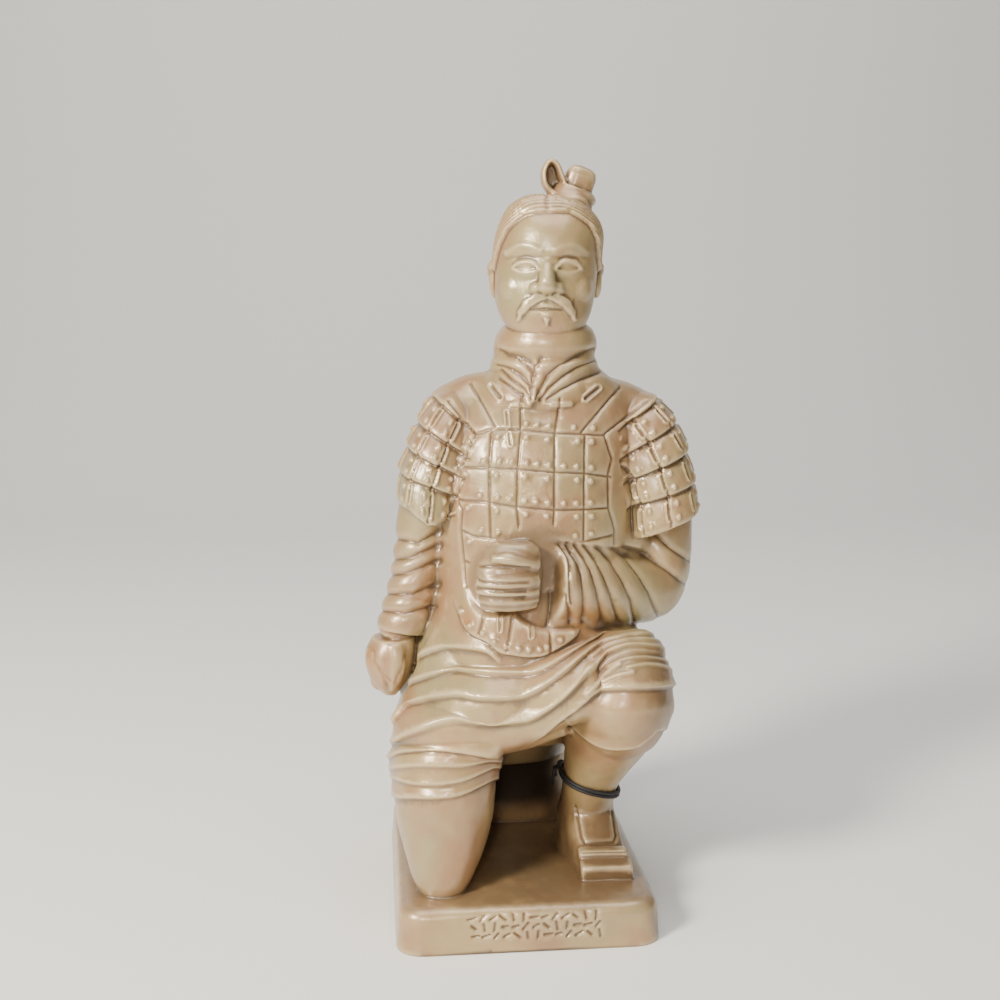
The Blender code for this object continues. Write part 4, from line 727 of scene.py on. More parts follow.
def back_armour(points, behind, off_arms):
    # Plainer plates on the back, in keeping with the front ones.
    x = points[:, 0]
    z = points[:, 2]
    edge = 109.0 + 0.010 * (x - 10.0) ** 2
    depth = np.zeros(len(points))
    for along, lines in ((z, BACK_ROWS), (x, BACK_COLUMNS)):
        for place in lines:
            depth = np.minimum(depth, -PLATE_GROOVE * np.exp(-((along - place) / BACK_GROOVE_WIDTH) ** 2))
    shown = ramp(z, edge - 0.5, edge + 0.5) * ramp(-np.abs(x - 10.0), -34.0, -31.0)
    depth *= shown * ramp(-z, -203.0, -199.0)
    board = 1.6 * ramp(z, edge - 0.8, edge + 0.8) * ramp(-z, -150.0, -120.0)
    return (depth + board) * behind * off_arms


def apron_step(points, facing, off_arms):
    u, w = drawn(points)
    edge = np.array(APRON_EDGE)
    band = between(u, -30.0, -13.0, 40.0, 47.0)
    return lip(u, w, edge, 1.8, 0.5) * facing * off_arms * band * ramp(-w, -150.0, -122.0)


ROBE_FOLDS = (
    ((-41, 107), (-37, 110), (-32, 112), (-25.5, 113), (-17.5, 112), (-12, 110.5), (-6, 105)),
    ((-46, 93.5), (-43.5, 96.5), (-39.5, 99.5), (-33, 102), (-25.5, 103), (-12, 101), (4, 100.5),
     (9.5, 102), (15.5, 105), (21.5, 109), (27, 113.5), (31, 116), (37, 118), (48.5, 119.5)),
    ((-48, 83), (-46, 86), (-42, 89.5), (-37, 91.5), (-31, 93), (-23.5, 93.5), (-15.5, 92),
     (-1, 92), (6, 94), (11.5, 97), (17.5, 101), (23.5, 106), (29, 110.5), (35, 113),
     (43, 114.5), (51, 114.5), (56, 112.5), (60, 109)),
    ((-49, 73.5), (-47, 76.5), (-42, 79), (-37, 80.5), (-31.5, 82), (-23.5, 83), (-15.5, 82),
     (0, 82.5), (6, 84), (11, 87), (15.5, 90.5), (21.5, 96), (27.5, 101.5), (31, 105.5),
     (36, 108.5), (43, 110.5), (51, 110), (57.5, 107.5), (61, 104)),
)
HEM = (
    (-50.5, 67), (-47, 69.5), (-43, 71), (-27.5, 71.5), (-10, 70), (0, 72), (8, 76), (13.5, 80),
    (19.5, 84.5), (25.5, 89), (30, 92.5), (35.5, 93.5), (51, 93.5), (61.5, 94.5),
)
KNEE_FOLDS = (
    ((26, 92), (30, 96), (34, 99.5), (39, 102.5)), ((33, 96.5), (38, 98.5), (44, 99.5)),
    ((27.5, 106.5), (33, 110.4), (41, 112.6), (50, 112.5), (57.5, 110)),
    ((31.5, 102), (37, 106), (44, 108.2), (52, 107.6), (60, 105)),
    ((35, 102), (41, 104.8), (48, 105.6), (55, 104.2), (61, 101.4)),
    ((42, 101.4), (49, 102.6), (56, 101.2), (61.5, 98.6)),
)
LOWER_HEMS = (
    (((-51, 63), (-47, 64.5), (-39, 65), (-23.5, 64.5), (-14, 66.5)), 0.7),
    (((-50.5, 61.5), (-45, 59), (-39, 57.5), (-29.5, 57.5), (-21.5, 59), (-12, 63.5)), 0.7),
    (((-50.5, 54.5), (-48, 52.5), (-41, 52), (-33.5, 51.5), (-25.5, 52), (-19.5, 54), (-11, 58.5)), 1.1),
)
TROUSER_ARC = (
    (15.5, 85), (18.5, 81), (21.5, 78.5), (25.5, 75), (31.5, 71), (37.5, 69.5), (45.5, 70), (49.5, 72.5),
    (53.5, 76.5),
)


def robe_folds(points, facing, off_arms):
    u, w = drawn(points)
    raised = np.zeros(len(points))
    below_apron = ramp(np.interp(u, *np.array(APRON_EDGE).T) - w, -0.5, 1.5)
    below_apron = np.maximum(below_apron, ramp(np.abs(u - 6.0), 30.0, 34.0) * ramp(-w, -128.0, -120.0))
    for line in ROBE_FOLDS:
        within = ramp(u, line[0][0] - 6.0, line[0][0]) * ramp(-u, -line[-1][0] - 1.0, -line[-1][0] + 5.0)
        raised = np.maximum(raised, fold(u, w, line, 1.9, 4.0, 1.3) * within)
    for line in KNEE_FOLDS:
        raised += 0.8 * np.exp(-(stroke_distance(u, w, smooth_line(line), 5.0) / 0.9) ** 2)
    raised *= ramp(w - np.interp(u, *np.array(HEM).T), 0.0, 3.0)
    return raised * facing * off_arms * below_apron


def robe_hems(points, facing, off_arms):
    u, w = drawn(points)
    raised = lip(u, w, HEM, 1.2, 0.6) * ramp(-w, -118.0, -100.0)
    raised += 0.6 * fold(u, w, HEM, 1.0, 2.2, 0.6)
    on_leg = ramp(-u, 6.0, 10.0)
    for line, height in LOWER_HEMS:
        raised += lip(u, w, line, height, 0.5) * on_leg * ramp(-w, -75.0, -68.0)
        raised += 0.4 * fold(u, w, line, 1.0, 1.8, 0.6) * on_leg
    arc = lip(u, w, TROUSER_ARC, 1.0, 0.6) * ramp(u, 18.0, 22.0) * ramp(-w, -92.0, -84.0)
    arc += 0.6 * np.exp(-stroke_distance(u, w, TROUSER_ARC, 5.0) / 0.9) * ramp(u, 15.0, 19.0)
    return (raised + arc) * facing * off_arms


SLEEVE_FOLDS = (
    ((10, 151), (11, 145.5), (11.5, 130), (10.5, 120)),
    ((15, 151.5), (18.5, 145.5), (19, 137.5), (20, 128)), ((17, 131.5), (19, 126.5), (19.5, 121)),
    ((18, 151.5), (22, 145.5), (24, 139.5), (25, 129.5), (24.5, 121)),
    ((21, 151.5), (25, 146.5), (27.5, 141.5), (30, 133.5), (32, 121)),
    ((24.5, 151.5), (29.5, 145.5), (32.5, 139.5), (35.5, 131.5), (38, 121)),
    ((29, 151.5), (35.5, 145), (40, 137), (43.5, 129), (44.5, 120.5)),
    ((33.5, 151.5), (40.5, 147), (46.5, 139), (50.5, 132), (54, 122)),
    ((37.5, 152), (48.5, 147), (56, 141.5), (66, 134)), ((51, 155.5), (58, 149.5), (68, 143)),
)
ARM_FOLDS = (
    ((-48, 155), (-39, 153), (-30, 157.5)), ((-50, 147), (-42, 147.5), (-31, 152)),
    ((-52, 141), (-44, 141.5), (-31, 146)), ((-53, 134), (-41, 133.5), (-31, 137)),
    ((-55, 127.5), (-44, 126), (-32, 128.5)),
)


def sleeve_folds(points, facing, on_forearm, on_hanging_arm):
    u, w = drawn(points)
    depth = np.zeros(len(points))
    for line in SLEEVE_FOLDS:
        depth = np.minimum(depth, crease(u, w, line, 1.6, 1.25) * on_forearm)
    around = np.zeros(len(points))
    for line in ARM_FOLDS:
        reach = stroke_distance(u, w, line, 6.0)
        around = np.minimum(around, -1.6 * np.exp(-reach / 1.5) * on_hanging_arm)
    return depth * facing + around


SCARF_FOLDS = (
    ((7.5, 222.5), (5, 219), (4, 215), (3.5, 211.5), (4, 207.5)),
    ((6, 207), (7.5, 211.5), (10, 216), (14.5, 220), (20.5, 223), (29, 226.5)),
    ((7.5, 207), (10.5, 211.5), (15.5, 215.5), (21.5, 219), (30, 222.5)),
    ((10, 207.5), (15.5, 211), (22.5, 214.5), (31, 218)),
    ((-11.5, 227.5), (-5, 224), (-0.5, 223), (3.5, 221.5), (6, 219.5)),
    ((-1, 222.5), (2.5, 219.5), (5, 216.5)),
    ((-11.5, 221), (-5, 219), (-0.5, 216.5), (4, 212.5)),
    ((-8, 218.5), (-3.5, 214.5), (0.5, 212), (3, 209.5)),
    ((-8.5, 215.5), (-4, 212), (-0.5, 209)),
)


def scarf_folds(points, facing):
    u, w = drawn(points)
    depth = np.zeros(len(points))
    for line in SCARF_FOLDS:
        depth = np.minimum(depth, crease(u, w, line, 1.5, 1.0))
    return depth * facing


EYE_LIDS = (
    ((3.4, 255.9), (5.6, 258), (8.3, 258.7), (11, 258), (13, 256.2)),
    ((3.4, 255.7), (6, 254.7), (8.7, 254.4), (11.2, 255), (13, 256)),
)
LIP_LINE = ((0, 240.7), (3, 240.6), (5.8, 240.4))
LID_FOLD = ((3.9, 258), (6, 260.1), (8.8, 260.8), (11.6, 259.9), (13.6, 258))
WHISKERS = ((1, 245.2, 1), (4, 244.8, 1.7), (7.6, 242.6, 1.7), (10, 239.4, 1.1), (11.2, 236.4, 0.3))


def face(points):
    head = to_head(points)
    near = ramp(-head[:, 1], 4.0, 9.0) * ramp(points[:, 2], 229.5, 231.0)
    near *= ramp(-points[:, 2], -278.0, -276.0)
    near *= ramp(-np.hypot(head[:, 0], head[:, 1]), -34.0, -31.0)
    side = np.abs(head[:, 0])
    height = points[:, 2]
    moves = -1.0 * np.exp(-((side - 8.2) / 6.0) ** 2 - ((height - 260.2) / 1.6) ** 2)
    moves -= 0.4 * np.exp(-((side - 8.2) / 5.0) ** 2 - ((height - 251.8) / 2.4) ** 2)
    upper, lower = (smooth_line(line) for line in EYE_LIDS)
    open_eye = ramp(np.interp(side, upper[:, 0], upper[:, 1]) - height, 0.0, 0.7)
    open_eye *= ramp(height - np.interp(side, lower[:, 0], lower[:, 1]), 0.0, 0.7)
    open_eye *= between(side, 3.4, 4.4, 12.0, 13.0)
    moves -= 0.55 * open_eye * (0.35 + ((side - 8.3) / 5.0) ** 2)
    moves += 0.50 * np.exp(-(stroke_distance(side, height, upper, 3.0) / 0.85) ** 2)
    moves += 0.22 * np.exp(-(stroke_distance(side, height, lower, 3.0) / 0.75) ** 2)
    moves -= 0.30 * np.exp(-(stroke_distance(side, height, smooth_line(LID_FOLD), 3.0) / 0.55) ** 2)
    moves -= 0.60 * np.exp(-(stroke_distance(side, height, LIP_LINE, 3.0) / 0.5) ** 2)
    brow_line = smooth_line(((2.8, 262.6), (7.0, 264.6), (11.5, 264.6), (15.5, 262.0)))
    moves += 0.45 * np.exp(-(stroke_distance(side, height, brow_line, 5.0) / 1.25) ** 2)
    whiskers = np.zeros(len(points))
    for (x1, z1, wide1), (x2, z2, wide2) in zip(WHISKERS[:-1], WHISKERS[1:]):
        reach = stroke_distance(side, height, ((x1, z1), (x2, z2)), 3.0)
        share = np.clip((side - x1) / (x2 - x1), 0.0, 1.0)
        whiskers = np.maximum(whiskers, ramp(wide1 + (wide2 - wide1) * share - reach, -0.3, 0.3))
    reach = 1.3 * np.clip((height - 233.6) / 3.6, 0.0, 1.0)
    tuft = ramp(reach - side, -0.2, 0.3) * ramp(-height, -237.6, -237.0)
    return (moves + 0.9 * whiskers + 0.8 * tuft) * near


FINGER_LINES = (
    ((-17, 144), (-11, 143.6), (-4, 143), (3.5, 142.4)),
    ((-18.5, 140), (-13.5, 137.4), (-6, 136.8), (3, 137)),
    ((-18, 135.6), (-12, 134.4), (-4, 133.6), (2.5, 133.6)),
    ((-17, 132.2), (-11, 131.3), (-4, 130.9), (2, 131)),
)
FIST_LINES = (
    ((-56.8, 112), (-56.2, 107), (-52.8, 102), (-50.2, 99.4)), ((-53, 101.5), (-51, 96)),
    ((-48.5, 98.5), (-45.5, 104.5), (-44.5, 109.5)),
)


def finger_lines(points, facing):
    u, w = drawn(points)
    on_hand = ramp(-path_distance(points, FRONT_HAND), -15.5, -13.5) * ramp(-points[:, 1], 40.0, 43.0)
    depth = np.zeros(len(points))
    for line in FINGER_LINES:
        depth = np.minimum(depth, crease(u, w, smooth_line(line), 1.0, 0.6))
    on_fist = ramp(-np.linalg.norm(points - np.array((-50.5, -12, 99)), axis=1), -17.0, -14.0)
    for line in FIST_LINES:
        depth = np.minimum(depth, crease(u, w, line, 0.6, 1.0) * on_fist)
    return depth * np.maximum(on_hand, on_fist) * facing


def hairline(turn):
    # How high the hair begins, as an angle up from the head's middle, for each angle round the head.
    return np.interp(turn, (0, 30, 50, 65, 78, 95, 110, 130, 180), (52, 50, 38, 18, -4, -2, -26, -46, -50))


HAIR_SWEEP = ((0, 52), (30, 49), (60, 32), (90, 4), (120, -24), (150, -42), (180, -50))


def hair(points):
    head = to_head(points)
    turn = np.degrees(np.arctan2(np.abs(head[:, 0]), -head[:, 1]))
    flat = np.hypot(head[:, 0], head[:, 1])
    rise = np.degrees(np.arctan2(head[:, 2] - 257.0, flat))
    over = rise - hairline(turn)
    on_head = between(head[:, 2], 237.0, 240.0, 283.0, 287.0) * ramp(-flat, -30.0, -27.0)
    parting = -0.5 * np.exp(-(head[:, 0] / 0.8) ** 2) * ramp(-head[:, 1], -6.0, 2.0)
    sweep = smooth_line(HAIR_SWEEP)
    strands = 0.32 * np.cos(2.0 * math.pi * (rise - np.interp(turn, sweep[:, 0], sweep[:, 1])) / 5.0)
    strands *= ramp(-over, -80.0, -50.0)
    return (1.5 + parting + strands) * ramp(over, -2.2, 2.2) * on_head


def surface(mesh):
    # Every point of a mesh and its outward direction.
    points = np.empty(len(mesh.vertices) * 3)
    mesh.vertices.foreach_get("co", points)
    outward = np.empty(len(mesh.vertices) * 3)
    mesh.vertex_normals.foreach_get("vector", outward)
    return points.reshape(-1, 3), outward.reshape(-1, 3)


def moved(mesh, fields):
    # Adds up the carving fields and moves every point along its own outward direction.
    points, outward = surface(mesh)
    points = points + outward * fields(points, outward)[:, None]
    points[:, 2] = np.where(points[:, 2] < 0.8, 0.0, points[:, 2])
    mesh.vertices.foreach_set("co", points.ravel())
    mesh.update()


ARM_RADII = (17.5, 15.5, 17.0, 15.0)


def arm_distances(points):
    return [path_distance(points, path) for path in (FOREARM, FRONT_HAND, UPPER_ARM, HANGING_ARM)]


def clearance(arms):
    # How far each point is from the nearest arm's surface.
    return np.minimum.reduce([away - radius for away, radius in zip(arms, ARM_RADII)])


def carving(points, outward):
    facing = ramp(-outward[:, 1], 0.05, 0.45)
    round_front = ramp(-outward[:, 1], -0.5, 0.0)
    arms = arm_distances(points)
    forearm, hand, upper, hanging = arms
    fist = np.linalg.norm(points - np.array((-50.5, -9, 100)), axis=1)
    off_arms = ramp(np.minimum(clearance(arms), fist - 14.0), -0.5, 2.0)
    on_forearm = ramp(-np.minimum(forearm, upper), -18.5, -17.0) * ramp(hand, 9.0, 11.0)
    on_hanging = ramp(-hanging, -17.5, -12.0)
    low = ramp(-points[:, 2], -128.0, -122.0)
    behind = ramp(outward[:, 1], 0.05, 0.45)
    moves = armour_grooves(points, facing, off_arms) + back_armour(points, behind, off_arms)
    around = np.degrees(np.arctan2(points[:, 0] - 2.0, points[:, 1] - 10.0))
    pleats = 0.9 * np.cos(np.radians(around) * 13.0 + 0.06 * points[:, 2])
    pleats *= ramp(-np.abs(points[:, 2] - 78.0), -29.0, -16.0) * ramp(points[:, 1], 8.0, 18.0) * off_arms
    moves += pleats * ramp(np.hypot(outward[:, 0], outward[:, 1]), 0.3, 0.7)
    moves += apron_step(points, facing, off_arms)
    moves += robe_folds(points, round_front, off_arms * low)
    moves += robe_hems(points, round_front, off_arms * low * ramp(points[:, 2], 40.0, 46.0))
    moves += sleeve_folds(points, facing, on_forearm, on_hanging)
    folds = scarf_folds(points, facing) * ramp(points[:, 2], 202.0, 206.0)
    moves += folds * ramp(-points[:, 2], -232.0, -229.0)
    moves += hair(points)
    moves += face(points)
    moves += finger_lines(points, facing)
    return moves


def ankle_middle():
    # The middle of the raised leg at the cord's height.
    rows = np.array(eased(RAISED_LEG, 24))
    height = -CORD_MIDDLE_HEIGHT / UNIT
    across = np.interp(height, -rows[:, 2], rows[:, 0]) - PLINTH_SHIFT
    deep = np.interp(height, -rows[:, 2], rows[:, 1])
    return Vector((across * UNIT, deep * UNIT, CORD_MIDDLE_HEIGHT))


def cord_route(tree, offset):
    # The way round the ankle, one point for each step, found by looking outwards from the leg's axis.
    middle = ankle_middle()
    away_points = []
    for step in range(CORD_STEPS):
        angle = 2.0 * math.pi * step / CORD_STEPS
        away = Vector((math.cos(angle), math.sin(angle), 0.0))
        start = middle + Vector((0, 0, offset - CORD_TILT * ANKLE_RADIUS * math.cos(angle)))
        hit = tree.ray_cast(start, away)[0]
        away_points.append((start, away, (hit - start).length))
    reach = [item[2] for item in away_points]
    route = []
    for step, (start, away, _) in enumerate(away_points):
        nearby = [reach[(step + shift) % CORD_STEPS] for shift in (-1, 0, 1)]
        distance = max(reach[step], sum(nearby) / 3.0) + CORD_DIAMETER / 2 + CORD_GAP * 1.6
        place = start + away * distance
        clearance = CORD_DIAMETER / 2 + CORD_GAP
        for _ in range(4):
            nearest = tree.find_nearest(place)[0]
            if (place - nearest).length < clearance:
                place = nearest + (place - nearest).normalized() * clearance
        route.append(place)
    return route


def tube(points, cyclic):
    curve = bpy.data.curves.new("cord", "CURVE")
    curve.dimensions = "3D"
    curve.bevel_depth = CORD_DIAMETER / 2
    curve.bevel_resolution = 3
    curve.use_fill_caps = True
    spline = curve.splines.new("POLY")
    spline.points.add(len(points) - 1)
    for point, place in zip(spline.points, points):
        point.co = (*place, 1.0)
    spline.use_cyclic_u = cyclic
    holder = bpy.data.objects.new("cord curve", curve)
    bpy.context.scene.collection.objects.link(holder)
    mesh = evaluated(holder)
    bpy.data.objects.remove(holder, do_unlink=True)
    local = bmesh.new()
    local.from_mesh(mesh)
    bmesh.ops.remove_doubles(local, verts=local.verts[:], dist=1e-6)
    bmesh.ops.recalc_face_normals(local, faces=local.faces[:])
    local.to_mesh(mesh)
    local.free()
    return mesh_object("strand", mesh)


def joined(made, pieces):
    # Unites the strands and tails with the knot into one closed body.
    for piece in pieces:
        cut = made.modifiers.new("join", "BOOLEAN")
        cut.operation = "UNION"
        cut.solver = "EXACT"
        cut.object = piece
        mesh = evaluated(made)
        made.modifiers.clear()
        made.data = mesh
        bpy.data.objects.remove(piece, do_unlink=True)


# Finer carving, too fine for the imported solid.


def bump(u, w, spot, height, radius):
    reach = stroke_distance(u, w, ((spot[0], spot[1]), (spot[0], spot[1] + 0.001)), radius * 3.0)
    return height * np.exp(-(reach / radius) ** 4)


def ring(u, w, line, height, radius, thick):
    # A raised outline round a short line, as of a buttonhole or a lace loop.
    reach = stroke_distance(u, w, line, radius + 3.0 * thick)
    return height * np.exp(-((reach - radius) / thick) ** 2)


def line_at(line, u):
    line = np.array(line, dtype=float)
    return float(np.interp(u, line[:, 0], line[:, 1]))


def column_at(line, w):
    line = np.array(line, dtype=float)[::-1]
    return float(np.interp(w, line[:, 1], line[:, 0]))


def armour_rivets(points, facing, off_arms):
    u, w = drawn(points)
    raised = np.zeros(len(points))
    for row in range(5):
        for column in range(5):
            top = PLATE_ROWS[row]
            low = PLATE_ROWS[row + 1]
            middle = 0.5 * (column_at(PLATE_COLUMNS[column], 180.0 - 13 * row)
                            + column_at(PLATE_COLUMNS[column + 1], 180.0 - 13 * row))
            height = 0.5 * (line_at(top, middle) + line_at(low, middle))
            left = column_at(PLATE_COLUMNS[column], height)
            right = column_at(PLATE_COLUMNS[column + 1], height)
            shares = (0.2, 0.5, 0.82) if column == 2 else (0.3, 0.72)
            if column in (0, 4):
                shares = (0.25,) if column == 4 else (0.7,)
            for share in shares:
                across = left + (right - left) * share
                raised += bump(u, w, (across, line_at(low, across) + 2.4), 0.9, 1.0)
            shares = (0.2, 0.8) if column == 2 else ((0.75,) if column == 3 else (0.25,))
            for share in shares:
                across = left + (right - left) * share
                raised += bump(u, w, (across, line_at(top, across) - 2.8), 0.9, 1.0)
    for across in (2.0, 6.2, 10.6, 20.2, 27.5):
        raised += bump(u, w, (across, line_at(PLATE_ROWS[0], across) + 2.4), 0.9, 1.0)
    for across in (-22.5, -18.8, -14.0, -9.6, -5.0, -0.6, 3.2, 7.2, 10.0, 15.0, 20.0, 25.0, 30.5):
        raised += bump(u, w, (across, line_at(APRON_EDGE, across) + 2.9), 0.85, 1.0)
    return raised * facing * off_arms


def yoke_fastenings(points, facing):
    u, w = drawn(points)
    raised = np.zeros(len(points))
    for line in (((-3.6, 205.3), (3.2, 205.1)), ((11.8, 205.1), (18.8, 205.4))):
        raised += 1.1 * np.exp(-(stroke_distance(u, w, line, 4.0) / 0.9) ** 2)
        raised -= 0.5 * np.exp(-(stroke_distance(u, w, (line[0], line[1]), 2.0) / 0.28) ** 2)
    for line in (((-5.4, 202.6), (-5.0, 197.4)), ((-4.4, 194.2), (-3.8, 190.2))):
        raised += ring(u, w, line, 0.7, 0.9, 0.35)
    for line in (((-11.0, 212.2), (-8.0, 208.2)), ((29.2, 211.2), (24.6, 207.4))):
        raised += ring(u, w, line, 0.6, 1.3, 0.4)
        raised -= 0.5 * np.exp(-(stroke_distance(u, w, line, 3.0) / 0.7) ** 2)
    for line in (((-7.5, 125.0), (-7.5, 118.5)), ((4.0, 124.5), (4.0, 115.8))):
        raised += ring(u, w, line, 0.7, 0.9, 0.35)
    return raised * facing


PLATE_TURN = 38.0
FRONT_EDGE_TURN = -49.0


def guard_plates(points, keys, tip, side):
    # Overlapping plates with a crisp lower edge, two rivets each, and a lace loop on each seam.
    share, across = guard_share(points, keys, tip)
    spread = np.linspace(0.0, 1.0, len(keys))
    keys = np.array(keys, dtype=float)
    deep = points[:, 1] / np.interp(share, spread, keys[:, 4])
    wide = np.interp(share, spread, keys[:, 3])
    turn = np.degrees(np.arctan2(across, -deep)) * side
    away = np.hypot(across, deep)
    rows = share * (len(keys) - 1)
    on = between(away, 0.84, 0.92, 1.34, 1.42)
    on *= ramp(side * points[:, 0], 30.0 if side > 0 else 9.0, 34.0 if side > 0 else 12.0)
    on *= between(rows, 0.85, 1.05, 4.95, 4.998)
    on *= ramp(turn, FRONT_EDGE_TURN - 2.0, FRONT_EDGE_TURN + 2.0)
    columns = (turn - 3.0) / PLATE_TURN + 4.0
    column = np.floor(columns)
    part = columns - column
    row = np.floor(rows)
    down = rows - row
    tall = (keys[1, 2] - keys[-1, 2]) / (len(keys) - 2)
    span = PLATE_TURN * math.pi / 180.0 * np.maximum(wide, 0.78 * np.interp(share, spread, keys[:, 4]))
    seam = np.minimum(part, 1.0 - part) * span
    moves = -0.85 * np.exp(-(seam / 0.55) ** 2)
    moves -= 1.0 * np.exp(-np.minimum(down, 1.0 - down) * tall / 0.55)
    moves += 0.55 * (down - 0.5) + 0.35 * (0.5 - part) + 0.22 * np.sin(5.1 * column + 3.3 * row)
    for spot in (0.26, 0.72):
        reach = np.hypot((part - 0.27) * span, (down - spot) * tall)
        moves += 0.8 * np.exp(-(reach / 1.0) ** 4)
    lace = np.hypot((np.where(part > 0.5, part - 1.0, part) + 0.07) * span,
                    np.maximum(np.abs(down - 0.45) * tall - 2.2, 0.0))
    moves += 0.75 * np.exp(-((lace - 1.0) / 0.42) ** 2)
    edge = np.exp(-((turn - FRONT_EDGE_TURN - 3.0) / 2.2) ** 2)
    return (moves + 0.7 * edge) * on


STROKE_ROWS = (13.6, 10.2, 6.8)


def inscription(points):
    # Rows of short shallow strokes that are not letters, on the plinth's front.
    x = points[:, 0]
    z = points[:, 2]
    cut = np.zeros(len(points))
    for row, height in enumerate(STROKE_ROWS):
        for place in range(13):
            angle = math.radians((12, 84, -38, 50, 4, -80, 28)[(place * 3 + row * 2) % 7])
            half = (1.5, 1.1, 1.3)[(place + row) % 3]
            middle = (-21.0 + 3.95 * place + 0.7 * row, height - 0.05 * place)
            reach = (half * math.cos(angle), half * math.sin(angle))
            line = ((middle[0] - reach[0], middle[1] - reach[1]),
                    (middle[0] + reach[0], middle[1] + reach[1]))
            cut = np.minimum(cut, groove(x, z, line, 0.75, 0.5))
    return cut * ramp(-points[:, 1], 59.0, 60.5)


def shoe_lines(points):
    u, w = drawn(points)
    near = ramp(points[:, 0], 16.0, 18.0) * ramp(-points[:, 2], -50.0, -47.0)
    near *= ramp(-points[:, 1], 12.0, 15.0)
    panel = ((22.0, 46.0), (24.6, 33.0), (26.2, 30.5), (37.6, 30.5), (38.6, 33.0), (36.6, 44.0))
    cut = groove(u, w, panel, 0.6, 0.5)
    cut = np.minimum(cut, groove(u, w, ((24.6, 26.6), (42.6, 26.2)), 0.5, 0.5))
    return cut * near


def uneven(points):
    # The slight waviness of a hand-finished cast, with a few pits.
    x = points[:, 0]
    y = points[:, 1]
    z = points[:, 2]
    wave = np.sin(0.31 * x + 0.9 * np.sin(0.17 * z)) * np.sin(0.27 * z + 1.1 * np.sin(0.21 * y) + 1.0)
    wave += 0.6 * np.sin(0.63 * x + 0.4 * y + 2.0) * np.sin(0.55 * z - 0.3 * x)
    moves = 0.10 * wave
    chance = np.random.default_rng(7)
    for _ in range(34):
        spot = chance.uniform((-48, -60, 15), (50, 10, 205))
        if spot[2] < 60:
            spot[2] = chance.uniform(15, 30)
        reach = np.linalg.norm(points - spot, axis=1)
        moves -= 0.45 * np.exp(-(reach / chance.uniform(0.6, 1.1)) ** 2)
    return moves


def fine_carving(points, outward):
    moves = carving(points, outward)
    facing = ramp(-outward[:, 1], 0.05, 0.45)
    off_arms = ramp(clearance(arm_distances(points)), -0.5, 2.0)
    moves += armour_rivets(points, facing, off_arms)
    moves += yoke_fastenings(points, facing) * off_arms
    moves += guard_plates(points, RIGHT_GUARD, RIGHT_TIP, 1.0)
    moves += guard_plates(points, LEFT_GUARD, LEFT_TIP, -1.0)
    moves += inscription(points)
    moves += shoe_lines(points)
    moves += uneven(points) * ramp(points[:, 2], 1.0, 3.0)
    return moves


def statue_mesh():
    mesh = whole_figure()
    moved(mesh, fine_carving)
    tone_maps(mesh)
    mesh.transform(Matrix.Scale(UNIT, 4) @ Matrix.Translation((-PLINTH_SHIFT, 0, 0)))
    return mesh


def thinned(mesh):
    faces = sum(len(face.vertices) - 2 for face in mesh.polygons)
    work = mesh_object("work", mesh)
    thin = work.modifiers.new("fewer faces", "DECIMATE")
    thin.ratio = STATUE_TRIANGLES / faces
    result = evaluated(work)
    bpy.data.objects.remove(work, do_unlink=True)
    bpy.data.meshes.remove(mesh)
    return result


STAINS = (
    ((20, -42, 124), 6, 0.9), ((30, -38, 123), 6, 0.9), ((-46, -14, 72), 7, 0.8), ((-44, -16, 82), 6, 0.7),
    ((-44, -12, 69), 8, 0.9), ((-40, -24, 66), 6, 0.7), ((24, -40, 124), 8, 0.8),
    ((-38, -20, 92), 5, 0.6), ((-26, -44, 76), 7, 0.6), ((-60, -14, 102), 4.5, 0.9), ((-44, -16, 62), 6, 0.5),
    ((-22, -34, 122), 4, 0.7), ((-9, -8, 254), 5, 0.45), ((-36, -10, 124), 4, 0.6), ((12, -34, 114), 7, 0.4),
    ((-48, -30, 22), 8, 0.4), ((-10, -22, 262), 6, 0.25), ((-26, -52, 30), 7, 0.35),
)


